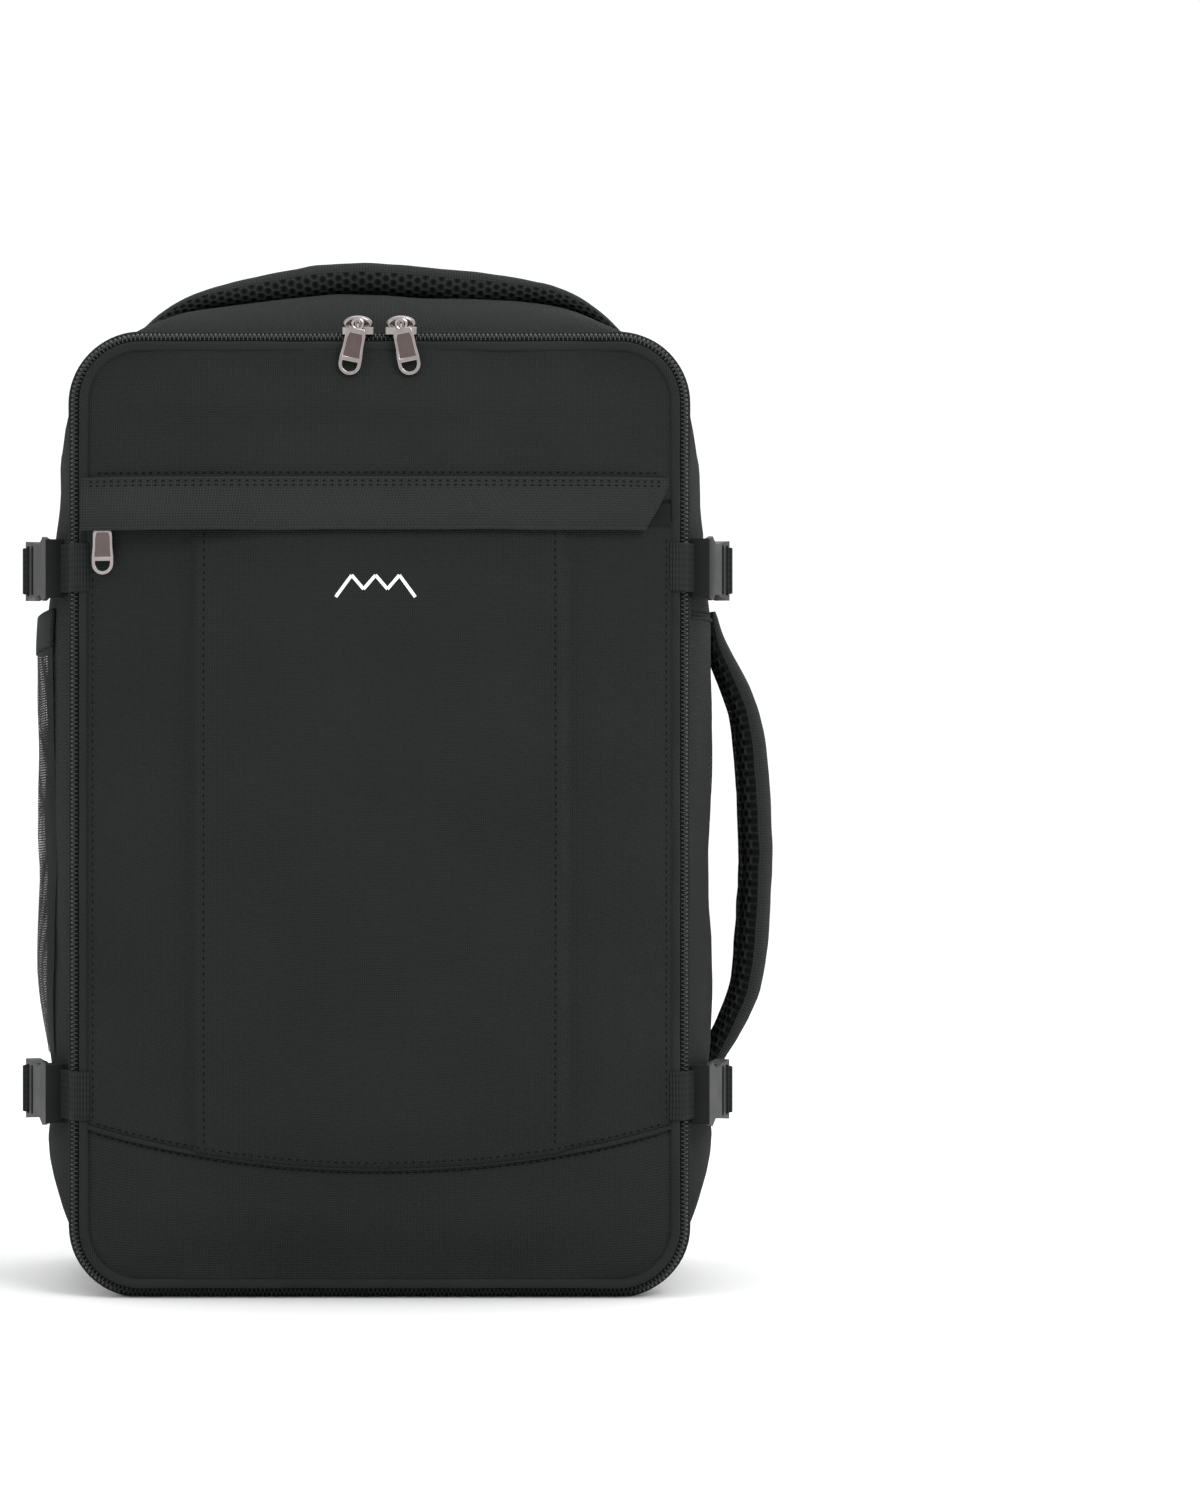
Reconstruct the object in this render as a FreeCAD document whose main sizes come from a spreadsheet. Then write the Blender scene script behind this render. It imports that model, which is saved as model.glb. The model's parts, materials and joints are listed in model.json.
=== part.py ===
import FreeCAD, Part
import math
import os
import Sketcher

# Travel backpack with a clamshell lid. Millimetres, +Z up, the lid faces -Y and hinges on
# the -X side. The origin is the centre of the flat base.

SIZES = {
    # body shell
    "rim_width": 312,
    "rim_height": 490,
    "rim_corner": 34,
    "foot_gap": 2,
    "main_depth": 200,
    "flat_depth": 80,
    "side_bulge": 18,
    "crown_rise": 24,
    "low_corner": 90,
    "high_corner": 75,
    "top_seam_drop": 11,
    "panel": 3,
    "lining": 0.8,
    "fit_gap": 0.3,
    # opening between body and lid
    "rim_band": 7.7,
    "part_gap": 0.6,
    "hinge_low": 84,
    "hinge_drop": 75,
    # lid
    "lid_band": 5,
    "piping": 6,
    "lid_board_depth": 2.5,
    "crown_low": 22,
    "crown_mid": 36,
    "crown_high": 26,
    "crown_top": 18,
    "crown_edge": 3,
    "pleat_step": 8,
    "pleat_half": 94,
    "lower_seam": 88,
    "pocket_drop": 105,
    "flap_drop": 75,
    "flap_height": 24,
    "flap_clear": 0.6,
    "zip_band": 19,
    "mesh_zip_low": 250,
    "mesh_zip_drop": 60,
    # laptop compartment and back
    "laptop_depth": 16,
    "board_depth": 3,
    "pad_depth": 14,
    "pad_width": 230,
    "trolley_low": 199,
    "trolley_high": 251,
    "trolley_stand": 21,
    "pad_drop": 68,
    "pad_low": 85,
    # shoulder straps
    "strap_width": 65,
    "strap_spread": 136,
    "strap_drop": 12,
    "strap_low": 78,
    "strap_bow": 85,
    # webbing and buckles
    "webbing_width": 25,
    "webbing": 1.5,
    "upper_strap_drop": 118,
    "lower_strap": 103,
    "buckle_rim": 4,
    "female_length": 28,
    "male_length": 22,
    "buckle_depth": 10,
    "buckle_plate": 2.6,
    "prong_length": 19,
    "prong_depth": 4,
    # zip sliders and their pullers
    "slider_length": 16,
    "slider_width": 10,
    "slider_depth": 4.2,
    "bridge_width": 3,
    "bridge_wire": 1.3,
    "puller_width": 11,
    "puller_length": 25,
    "puller_plate": 1.6,
    "zip_width": 6,
    # side pocket, port and handles
    "bottle_low": 19,
    "bottle_drop": 20,
    "bottle_binding": 19,
    "bottle_gap": 5,
    "mesh": 1.5,
    "handle_width": 40,
    "handle_depth": 12,
    "port_size": 32,
    "port_drop": 81,
    "inner_band_level": 220,
    "handle_overhang": 26,
}


class Size:
    """A number together with the spreadsheet formula that gives it."""

    def __init__(self, value, formula):
        self.value = value
        self.formula = formula

    def __add__(self, other):
        return Size(self.value + number(other), f"({self.formula} + {written(other)})")

    def __radd__(self, other):
        return Size(other + self.value, f"({other} + {self.formula})")

    def __sub__(self, other):
        return Size(self.value - number(other), f"({self.formula} - {written(other)})")

    def __rsub__(self, other):
        return Size(other - self.value, f"({other} - {self.formula})")

    def __mul__(self, other):
        return Size(self.value * number(other), f"({self.formula} * {written(other)})")

    def __rmul__(self, other):
        return self * other

    def __truediv__(self, other):
        return Size(self.value / number(other), f"({self.formula} / {written(other)})")

    def __neg__(self):
        return Size(-self.value, f"(-1 * {self.formula})")


def number(size):
    return size.value if isinstance(size, Size) else size


def written(size):
    return size.formula if isinstance(size, Size) else str(size)


def hypotenuse(rise, run):
    square = rise * rise + run * run
    return Size(math.sqrt(square.value), f"sqrt({square.formula})")


def slope_angle(rise, run):
    degrees = math.degrees(math.atan2(rise.value, run.value))
    return Size(degrees, f"atan2({rise.formula}; {run.formula})")


doc = FreeCAD.newDocument("travel_backpack")
sheet = doc.addObject("Spreadsheet::Sheet", "Sizes")
for row, (alias, value) in enumerate(SIZES.items(), 1):
    sheet.set(f"A{row}", alias)
    sheet.set(f"B{row}", str(value))
    sheet.setAlias(f"B{row}", alias)
doc.recompute()
sub_parts = {}


def size(alias):
    return Size(SIZES[alias], f"Sizes.{alias}")


def bind(thing, name, value):
    """Tie one property of a document object to its size."""
    if isinstance(value, Size):
        thing.setExpression(name, value.formula)
    else:
        thing.setExpression(name, str(value))


# ---------------------------------------------------------------- outlines and solids

def fix_point(sketch, geometry, point, along_x, value):
    """Hold one end of a line at its distance from the sketch's origin."""
    kind = "DistanceX" if along_x else "DistanceY"
    if number(value) < 0:
        rule = Sketcher.Constraint(kind, geometry, point, -1, 1, -number(value))
        index = sketch.addConstraint(rule)
        bind(sketch, f"Constraints[{index}]", -value)
    else:
        rule = Sketcher.Constraint(kind, -1, 1, geometry, point, number(value))
        index = sketch.addConstraint(rule)
        bind(sketch, f"Constraints[{index}]", value)


def polygon(*points):
    """An outline of straight lines through the given points."""
    def draw(sketch):
        first = sketch.GeometryCount
        places = [FreeCAD.Vector(number(x), number(y), 0) for x, y in points]
        for start, end in zip(places, places[1:] + places[:1]):
            sketch.addGeometry(Part.LineSegment(start, end))
        for index, (x, y) in enumerate(points):
            before = first + (index - 1) % len(points)
            sketch.addConstraint(Sketcher.Constraint("Coincident", before, 2, first + index, 1))
            fix_point(sketch, first + index, 1, True, x)
            fix_point(sketch, first + index, 1, False, y)
    return draw


def rectangle(left, right, low, high):
    return polygon((left, low), (right, low), (right, high), (left, high))


def rounded(left, right, low, high, low_radius, high_radius):
    """A rectangle with tangent arcs at its corners."""
    def draw(sketch):
        first = sketch.GeometryCount
        x0, x1, y0, y1 = number(left), number(right), number(low), number(high)
        r0, r1 = number(low_radius), number(high_radius)
        corners = [
            (x1 - r0, y0 + r0, low_radius, 270),
            (x1 - r1, y1 - r1, high_radius, 0),
            (x0 + r1, y1 - r1, high_radius, 90),
            (x0 + r0, y0 + r0, low_radius, 180),
        ]
        for x, y, radius, start in corners:
            circle = Part.Circle(FreeCAD.Vector(x, y, 0), FreeCAD.Vector(0, 0, 1), number(radius))
            turn = math.radians(start)
            sketch.addGeometry(Part.ArcOfCircle(circle, turn, turn + math.pi / 2))
        ends = [((x1, y0 + r0), (x1, y1 - r1)), ((x1 - r1, y1), (x0 + r1, y1)),
                ((x0, y1 - r1), (x0, y0 + r0)), ((x0 + r0, y0), (x1 - r0, y0))]
        for start, end in ends:
            sketch.addGeometry(Part.LineSegment(FreeCAD.Vector(*start, 0), FreeCAD.Vector(*end, 0)))
        for index in range(4):
            arc, line, following = first + index, first + 4 + index, first + (index + 1) % 4
            sketch.addConstraint(Sketcher.Constraint("Tangent", arc, 2, line, 1))
            sketch.addConstraint(Sketcher.Constraint("Tangent", line, 2, following, 1))
            direction = "Vertical" if index % 2 == 0 else "Horizontal"
            sketch.addConstraint(Sketcher.Constraint(direction, line))
            radius = corners[index][2]
            rule = sketch.addConstraint(Sketcher.Constraint("Radius", arc, number(radius)))
            bind(sketch, f"Constraints[{rule}]", radius)
        for index, value in enumerate((right, high, left, low)):
            fix_point(sketch, first + 4 + index, 1, index % 2 == 0, value)
    return draw


ROLES = {"XY": "XY_Plane", "XZ": "XZ_Plane", "YZ": "YZ_Plane"}


def add_plate(body, plane, start, end, *outlines):
    """Pad outlines on an origin plane from start to end, measured along the plane's own axis."""
    sketch = body.newObject("Sketcher::SketchObject", f"{body.Name}_outline")
    origin_plane = [item for item in body.Origin.OriginFeatures if item.Role == ROLES[plane]][0]
    sketch.AttachmentSupport = [(origin_plane, "")]
    sketch.MapMode = "FlatFace"
    facing = -1 if plane == "XZ" else 1
    bind(sketch, "AttachmentOffset.Base.z", start * facing)
    for outline in outlines:
        outline(sketch)
    pad = body.newObject("PartDesign::Pad", f"{body.Name}_pad")
    pad.Profile = sketch
    forward = number(end) > number(start)
    bind(pad, "Length", end - start if forward else start - end)
    pad.Reversed = forward if plane == "XZ" else not forward
    body.Tip = pad
    sketch.Visibility = False


def new_body(label):
    body = doc.addObject("PartDesign::Body", label)
    body.Label = label
    return body


def plate(label, plane, start, end, *outlines):
    body = new_body(label)
    add_plate(body, plane, start, end, *outlines)
    return body


def put(thing, x, y, z, turn=None):
    """Move an object, turned about +Z."""
    if turn is not None:
        thing.Placement.Rotation = FreeCAD.Rotation(FreeCAD.Vector(0, 0, 1), turn.value)
        bind(thing, "Placement.Rotation.Angle", turn)
    bind(thing, "Placement.Base.x", x)
    bind(thing, "Placement.Base.y", y)
    bind(thing, "Placement.Base.z", z)
    return thing


def block(label, x0, x1, y0, y1, z0, z1):
    box = doc.addObject("Part::Box", label)
    bind(box, "Length", x1 - x0)
    bind(box, "Width", y1 - y0)
    bind(box, "Height", z1 - z0)
    return put(box, x0, y0, z0)


def section(label, plane, place, outline):
    """A free sketch across Y or Z, for lofts."""
    sketch = doc.addObject("Sketcher::SketchObject", label)
    if plane == "XZ":
        sketch.Placement.Rotation = FreeCAD.Rotation(FreeCAD.Vector(1, 0, 0), 90)
        bind(sketch, "Placement.Base.y", place)
    else:
        bind(sketch, "Placement.Base.z", place)
    outline(sketch)
    return sketch


def loft(label, sections):
    shape = doc.addObject("Part::Loft", label)
    shape.Sections = sections
    shape.Solid = True
    shape.Ruled = True
    return shape


def cut(label, base, tool):
    result = doc.addObject("Part::Cut", label)
    result.Base = base
    result.Tool = tool
    return result


def common(label, base, tool):
    result = doc.addObject("Part::Common", label)
    result.Base = base
    result.Tool = tool
    return result


def group(label, pieces):
    result = doc.addObject("Part::Compound", label)
    result.Links = pieces
    return result


def keep(label, thing):
    """Name a finished sub-part."""
    thing.Label = label
    sub_parts[label] = thing


# ---------------------------------------------------------------- shared places

half = size("rim_width") / 2
rim_top = size("rim_height")
corner = size("rim_corner")
panel = size("panel")
gap = size("fit_gap")
back = size("main_depth") / 2
front = -back
flat = size("flat_depth") / 2
wide = half + size("side_bulge")
crest = rim_top + size("crown_rise")
slope_run = back - flat
slope = hypotenuse(size("side_bulge"), slope_run)
slope_sine = size("side_bulge") / slope
slope_cosine = slope_run / slope
wall_tilt = slope_angle(size("side_bulge"), slope_run)

rim_front = front - size("rim_band")
lid_back = rim_front - size("part_gap")
tape_front = lid_back - size("lid_band")
piping_front = tape_front - size("piping")
board_front = tape_front - size("lid_board_depth") - gap
lid_low = size("foot_gap")
laptop_back = back + size("laptop_depth")
back_face = laptop_back + size("board_depth") + gap
web = size("webbing")
webbing_half = size("webbing_width") / 2
strap_levels = {"upper": rim_top - size("upper_strap_drop"), "lower": size("lower_strap")}
hinge_high = rim_top - size("hinge_drop")

# a zip slider's heights above its track
slide_deep = size("slider_depth")
wire = size("bridge_wire")
bar = size("puller_plate") / 2
clear = bar * 1.5 + gap
bar_height = slide_deep + clear
bridge_high = bar_height + clear + wire


def rim_outline(inset):
    """The rim's rounded rectangle, drawn in by an inset."""
    return rounded(-half + inset, half - inset, lid_low + inset, rim_top - inset,
                   corner - inset, corner - inset)


def ring(label, start, end, inset, thickness):
    return plate(label, "XZ", start, end, rim_outline(inset), rim_outline(inset + thickness))


def on_wall(along, out, side, rear=False):
    """A place in plan: a distance along the side's sloping stretch and out from its face."""
    across = half + along * slope_sine + out * slope_cosine
    depth = front + along * slope_cosine - out * slope_sine
    return across * side, -depth if rear else depth


# ---------------------------------------------------------------- body shell

def tube(label, inset):
    """The body's outer form drawn in by an inset: narrow at both rims, full in the middle."""
    levels = [(front, half, rim_top, corner, corner),
              (-flat, wide, crest, size("low_corner"), size("high_corner")),
              (flat, wide, crest, size("low_corner"), size("high_corner")),
              (back, half, rim_top, corner, corner)]
    sections = []
    for index, (depth, reach, top, low_radius, high_radius) in enumerate(levels):
        outline = rounded(-reach + inset, reach - inset, inset, top - inset,
                          low_radius - inset, high_radius - inset)
        sections.append(section(f"{label}_section_{index}", "XZ", depth, outline))
    return loft(label, sections)


zero = panel * 0
outside = size("rim_width") * 2
shell = cut("shell", tube("shell_outer", zero), tube("shell_inner", panel))
base_half = wide - size("low_corner") - 1

seam = rim_top - size("top_seam_drop")
above = block("above_seam", -outside, outside, front - 1, back + 1, seam, crest + panel)
keep("top_panel", common("top_shell", shell, above))
for side, name in ((1, "right"), (-1, "left")):
    near = base_half if side > 0 else -outside
    far = outside if side > 0 else -base_half
    half_space = block(f"{name}_space", near, far, front - 1, back + 1, -panel, seam)
    keep(f"side_panel_{name}", common(f"{name}_shell", shell, half_space))
keep("base_panel", block("base_plate", -base_half, base_half, front, back, zero, panel))

lining_inset = panel + gap
lining_end = lining_inset + size("lining")
keep("main_lining", cut("lining_tube", tube("lining_outer", lining_inset),
                        tube("lining_inner", lining_end)))
divider_inset = lining_end + 3 * gap
keep("divider_panel", plate("divider_panel", "XZ", back - panel, back,
                            rounded(-half + divider_inset, half - divider_inset,
                                    divider_inset, rim_top - divider_inset,
                                    corner - divider_inset, corner - divider_inset)))

hinge_space = block("hinge_space", -half - 1, -half + 2 * panel, rim_front - 1, front + 1,
                    size("hinge_low"), hinge_high)
rim_ring = ring("rim_ring", rim_front, front - gap / 3, zero, panel)
keep("body_zip_tape", cut("zip_side", rim_ring, hinge_space))
keep("hinge_strip", common("hinge_side", rim_ring, hinge_space))

# the strap inside: a band across the floor of the case with two arms that meet it
inner_face = back - panel - gap
strap_band = size("webbing_width")
inner_reach = half - 12
band_low = size("inner_band_level")
arm_top = hinge_high - size("flap_height")
keep("inner_strap", group("inner_straps", [
    plate("inner_band", "XZ", inner_face - size("webbing"), inner_face,
          rectangle(-inner_reach, inner_reach, band_low, band_low + strap_band)),
    plate("inner_arm", "XZ", inner_face - size("webbing"), inner_face,
          polygon((-inner_reach, arm_top), (-inner_reach, arm_top - strap_band),
                  (-strap_band, band_low + strap_band + gap), (0, band_low + strap_band + gap)))]))

# ---------------------------------------------------------------- laptop compartment and back

keep("laptop_gusset", ring("laptop_gusset", back + gap, laptop_back, zero, panel))
zip_edge = size("lining") + gap
laptop_track = ring("laptop_track", back + 4, back + 4 + size("zip_width"), -zip_edge, size("lining"))
track_low = strap_levels["upper"] - 13
keep("laptop_zip", common("laptop_zip_run", laptop_track, block(
    "track_space", -outside, outside, back, laptop_back, track_low, crest)))
keep("back_board", plate("back_board", "XZ", laptop_back + gap, back_face - gap, rim_outline(zero)))

pad_half = size("pad_width") / 2
pad_back = back_face + size("pad_depth")
pads = []
for name, low, high in (("lower", size("pad_low"), size("trolley_low")),
                        ("upper", size("trolley_high"), rim_top - size("pad_drop"))):
    pads.append(plate(f"{name}_pad", "XZ", back_face, pad_back,
                      rounded(-pad_half, pad_half, low, high, panel * 5, panel * 5)))
keep("back_pads", group("pads", pads))

band_out = back_face + size("trolley_stand")
band_in = band_out - panel
band_end = pad_half - panel
keep("luggage_strap", plate(
    "luggage_strap", "XY", size("trolley_low") + 4, size("trolley_high") - 3,
    polygon((-pad_half, back_face), (-pad_half, band_out), (pad_half, band_out),
            (pad_half, back_face), (band_end, back_face), (band_end, band_in),
            (-band_end, band_in), (-band_end, back_face))))

# padded shoulder straps, hanging clear of the back in an arc
spread = size("strap_spread") / 2
strap_half = size("strap_width") / 2
# (shares of its bow out from the back and of its drop)
strap_top = rim_top - size("strap_drop")
strap_fall = strap_top - size("strap_low")
outer_line = [(0.012, 0), (0.32, 0.025), (0.69, 0.195), (0.99, 0.445), (1, 0.605), (0.79, 0.82), (0.48, 1)]
inner_line = [(0.33, 0.985), (0.62, 0.805), (0.82, 0.6), (0.81, 0.45), (0.52, 0.215), (0.21, 0.065),
              (0.012, 0.05)]
strap_side = [(back_face + size("strap_bow") * out, strap_top - strap_fall * down)
              for out, down in outer_line + inner_line]
lock_half = webbing_half + 6
locks, loose_webbing, wings = [], [], []
for side, name in ((1, "right"), (-1, "left")):
    centre = spread * side
    keep(f"shoulder_strap_{name}", plate(f"shoulder_strap_{name}", "YZ", centre - strap_half,
                                         centre + strap_half, polygon(*strap_side)))
    lock_high = size("strap_low") - 5
    lock = plate(f"lock_{name}", "XZ", back_face + 26, back_face + 32,
                 rounded(centre - lock_half, centre + lock_half, lock_high - 38, lock_high, web, web),
                 rectangle(centre - webbing_half - 1, centre + webbing_half + 1,
                           lock_high - 13, lock_high - 6),
                 rectangle(centre - webbing_half - 1, centre + webbing_half + 1,
                           lock_high - 30, lock_high - 22))
    locks.append(lock)
    lock_back = back_face + 26 - gap
    tail = polygon((lock_back, lock_high - 16), (lock_back - web, lock_high - 16),
                   (back_face + 16, size("foot_gap") + 2), (back_face + 16 + web, size("foot_gap") + 2))
    loose_webbing.append(plate(f"tail_{name}", "YZ", centre - webbing_half, centre + webbing_half, tail))
    wing_reach = half - corner / 4
    corner_x = wing_reach * side
    tip_x = (spread + lock_half) * side
    wings.append(plate(f"wing_{name}", "XZ", back_face, back_face + panel,
                       polygon((corner_x, lock_high - 12), (corner_x, lock_high + 18),
                               (tip_x, lock_high + 3), (tip_x, lock_high - 10))))
keep("ladder_locks", group("locks", locks))
keep("shoulder_webbing", group("tails", loose_webbing))
keep("strap_wings", group("wing_pair", wings))

# ---------------------------------------------------------------- handles

grip_half = size("handle_width") / 2
deep = size("handle_depth")
arch_top = crest + 20
reach = wide - size("high_corner") + size("handle_overhang")
keep("top_handle", plate(
    "top_handle", "XZ", -grip_half, grip_half,
    polygon((-reach, crest - 4), (-reach + 6, arch_top - 7), (-reach + 46, arch_top),
            (reach - 46, arch_top), (reach - 6, arch_top - 7), (reach, crest - 4),
            (reach - 16, crest + gap), (reach - 20, arch_top - deep - 1), (reach - 48, arch_top - deep),
            (-reach + 48, arch_top - deep), (-reach + 20, arch_top - deep - 1),
            (-reach + 16, crest + gap))))

side_base = wide + web + 2 * gap
side_out = wide + 28
side_low = strap_levels["lower"] - 7
side_high = strap_levels["upper"] - 18
keep("side_handle", plate(
    "side_handle", "XZ", -grip_half, grip_half + 8,
    polygon((side_base, side_low), (side_base + 10, side_low + 8), (side_out, side_low + 62),
            (side_out, side_high - 62), (side_base + 10, side_high - 8), (side_base, side_high),
            (side_base, side_high - 18), (side_out - deep, side_high - 66),
            (side_out - deep, side_low + 66), (side_base, side_low + 18))))

# ---------------------------------------------------------------- side pocket, port, side zip

pocket_in = size("bottle_gap")
pocket_out = pocket_in + size("mesh")
pocket_start = slope * 0.45
low = strap_levels["lower"] + size("bottle_low")
high = strap_levels["upper"] - size("bottle_drop")
binding_low = high - size("bottle_binding")
# how much further along the wall each millimetre outward reaches before the side turns
corner_reach = (slope - slope_run) / size("side_bulge") * -1


def along_side(side, inner, outer, start, end):
    """A strip in plan that follows the side's three faces from a place on the front slope
    to one on the rear slope."""
    bend = slope - outer * corner_reach
    inner_bend = slope - inner * corner_reach
    return polygon(on_wall(start, inner, side), on_wall(start, outer, side),
                   on_wall(bend, outer, side), on_wall(bend, outer, side, True),
                   on_wall(end, outer, side, True), on_wall(end, inner, side, True),
                   on_wall(inner_bend, inner, side, True), on_wall(inner_bend, inner, side))


mesh_wall = plate("pocket_wall", "XY", low, binding_low - gap,
                  along_side(-1, pocket_in, pocket_out, pocket_start, pocket_start))
mesh_floor = plate("pocket_floor", "XY", low, low + size("mesh"),
                   along_side(-1, gap, pocket_in - gap / 3, pocket_start, pocket_start))
keep("bottle_pocket", group("pocket_pair", [mesh_wall, mesh_floor]))
keep("bottle_pocket_binding", plate("bottle_pocket_binding", "XY", binding_low, high,
                                    along_side(-1, pocket_in, pocket_out + gap, pocket_start,
                                               pocket_start)))

port_half = size("port_size") / 2
port_level = strap_levels["upper"] - size("port_drop")
port = plate("usb_port", "YZ", zero, panel - gap,
             rounded(-port_half, port_half, -port_half - 3, port_half + 3, web * 3, web * 3))
port_x, port_y = on_wall(slope - port_half - 2, gap, 1, True)
keep("usb_port", put(port, port_x, port_y, port_level, wall_tilt))

zip_half = size("zip_width") / 2
zip_along = slope * 0.14
side_zip_low = strap_levels["lower"] + webbing_half + 3
side_zip_high = strap_levels["upper"] - 27
side_zip = plate("side_pocket_zip", "YZ", zero, size("lining"),
                 rectangle(-zip_half, zip_half, zero, side_zip_high - side_zip_low))
zip_x, zip_y = on_wall(zip_along, gap, 1, True)
keep("side_pocket_zip", put(side_zip, zip_x, zip_y, side_zip_low, wall_tilt))

# ---------------------------------------------------------------- webbing along the sides

female_long = size("female_length")
buckle_long = female_long + size("male_length")
buckle_starts = {1: -slope * 0.05, -1: slope * 0.09}
strips = []
for side, name in ((1, "right"), (-1, "left")):
    start = buckle_starts[side] + buckle_long - size("male_length") / 2
    strip = along_side(side, gap, web + gap, start, slope * 0.3)
    for level, middle in strap_levels.items():
        strips.append(plate(f"{name}_{level}_web", "XY", middle - webbing_half,
                            middle + webbing_half, strip))
        if side < 0:
            strips.append(plate(f"hinge_{level}_web", "XY", middle - webbing_half,
                                middle + webbing_half,
                                rectangle(-half - gap - web, -half - gap, rim_front + 1.2, front)))
keep("compression_webbing", group("webbing_strips", strips))

# ---------------------------------------------------------------- lid

keep("lid_zip_tape", ring("lid_zip_tape", lid_back, tape_front, zero, panel))
keep("lid_piping", ring("lid_piping", tape_front - gap / 3, piping_front, zero, size("piping")))
board_inset = size("piping") + gap
keep("lid_board", plate("lid_board", "XZ", tape_front - gap, board_front, rim_outline(board_inset)))
lining_back = tape_front
lining_face = lining_back + size("lining")
keep("lid_lining", plate("lid_lining", "XZ", lining_back, lining_face, rim_outline(panel + gap)))
mesh_face = lining_face + gap + size("lining")
keep("lid_mesh_pockets", plate("lid_mesh_pockets", "XZ", lining_face + gap, mesh_face,
                               rim_outline(panel * 4)))
mesh_zip_levels = {"lower": size("mesh_zip_low"), "upper": rim_top - size("mesh_zip_drop")}
zip_face = mesh_face + gap + size("lining")
mesh_reach = half - panel * 5
band_half = size("zip_band") / 2
keep("lid_mesh_zips", group("mesh_zip_bands", [
    plate(f"mesh_band_{name}", "XZ", mesh_face + gap, zip_face,
          rectangle(-mesh_reach, mesh_reach, level - band_half, level + band_half))
    for name, level in mesh_zip_levels.items()]))

crown_base = board_front - gap
edge = half - size("piping") - gap
pleat = size("pleat_half")


def crown_section(label, level, height, inset, stepped):
    """A cross-section of the lid's front: flat in the middle, sloping to the rim."""
    step = size("pleat_step") if stepped else zero
    top = crown_base - height + inset
    shoulder = crown_base - height + step + inset
    rim = crown_base - size("crown_edge") + inset
    outer = edge - inset
    inner = pleat - inset
    points = [(-outer, crown_base), (-outer, rim), (-inner - 6, shoulder), (-inner, top),
              (inner, top), (inner + 6, shoulder), (outer, rim), (outer, crown_base)]
    return section(label, "XY", level, polygon(*points))


def crown_skin(label, levels, stepped):
    """A hollow stretch of the lid's front through the given levels and heights."""
    lofts = []
    for name, inset in (("outer", zero), ("inner", panel * 0.7)):
        lofts.append(loft(f"{label}_{name}", [
            crown_section(f"{label}_{name}_{index}", level, height, inset, stepped)
            for index, (level, height) in enumerate(levels)]))
    return cut(f"{label}_skin", *lofts)


lid_outline = plate("lid_outline", "XZ", crown_base + 1, crown_base - size("crown_mid") * 2,
                    rim_outline(board_inset))
lower_seam = size("lower_seam")
mouth = rim_top - size("pocket_drop")
mouth_top = mouth + size("zip_band") + 2 * gap
lid_high = rim_top - board_inset
lower_levels = [(lid_low + board_inset, size("crown_edge") + 1), (lower_seam * 0.55, size("crown_top") - 4),
                (lower_seam, size("crown_low"))]
pocket_levels = [(lower_seam + gap, size("crown_low")), ((lower_seam + mouth) / 2, size("crown_mid")),
                 (mouth, size("crown_high"))]
upper_levels = [(mouth_top, size("crown_top")), (lid_high, size("crown_edge") + 1)]
keep("lid_lower_panel", common("lower_panel", crown_skin("lower", lower_levels, False), lid_outline))
keep("front_pocket", crown_skin("pocket", pocket_levels, True))
keep("lid_upper_panel", common("upper_panel", crown_skin("upper", upper_levels, False), lid_outline))

# the zip across the pocket's mouth and the flap in front of it, both bent like the crown
mouth_rise = size("crown_top") - size("crown_edge")
mouth_run = edge - pleat
mouth_slope = hypotenuse(mouth_rise, mouth_run)
mouth_tilt = slope_angle(mouth_rise, mouth_run)
mouth_sine = mouth_rise / mouth_slope
mouth_cosine = mouth_run / mouth_slope
rim_line = crown_base - size("crown_edge")
crown_line = crown_base - size("crown_top")


def across_front(near, far, reach):
    """A strip in plan over the lid's front, between two distances proud of the crown."""
    return polygon((-reach, rim_line - near), (-reach, rim_line - far), (-pleat, crown_line - far),
                   (pleat, crown_line - far), (reach, rim_line - far), (reach, rim_line - near),
                   (pleat, crown_line - near), (-pleat, crown_line - near))


keep("pocket_zip", plate("pocket_zip", "XY", mouth + gap, mouth_top - gap,
                         across_front(-size("lining"), zero, edge)))
stand = bridge_high + size("flap_clear")
flap_high = rim_top - size("flap_drop")
keep("lid_flap", plate("lid_flap", "XY", flap_high - size("flap_height"), flap_high,
                       across_front(stand, stand + panel * 0.8, half)))

web_front = piping_front - gap - web
web_back = piping_front - gap
web_root = half - size("piping")
lid_strips = []
for level, middle in strap_levels.items():
    lid_strips.append(plate(f"lid_right_{level}", "XY", middle - webbing_half, middle + webbing_half,
                            polygon((web_root, web_front), (half + gap + web, web_front),
                                    (half + gap + web, rim_front + 1.2), (half + gap, rim_front + 1.2),
                                    (half + gap, web_back), (web_root, web_back))))
    lid_strips.append(plate(f"lid_left_{level}", "XY", middle - webbing_half, middle + webbing_half,
                            rectangle(-half + 0.5, -web_root, web_front, web_back)))
keep("lid_webbing", group("lid_strips", lid_strips))

# ---------------------------------------------------------------- buckles
# Both halves share one frame: Y along the strap from the lid to the back, Z across it,
# and X out from the wall, turned to lie along the wall's slope.

buckle_half = webbing_half + size("buckle_rim")
rail = buckle_half - 3.6
prong_inner = size("buckle_plate")
prong_tip = female_long - size("prong_length")


def signed(side, value):
    return value if side > 0 else -value


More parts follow.
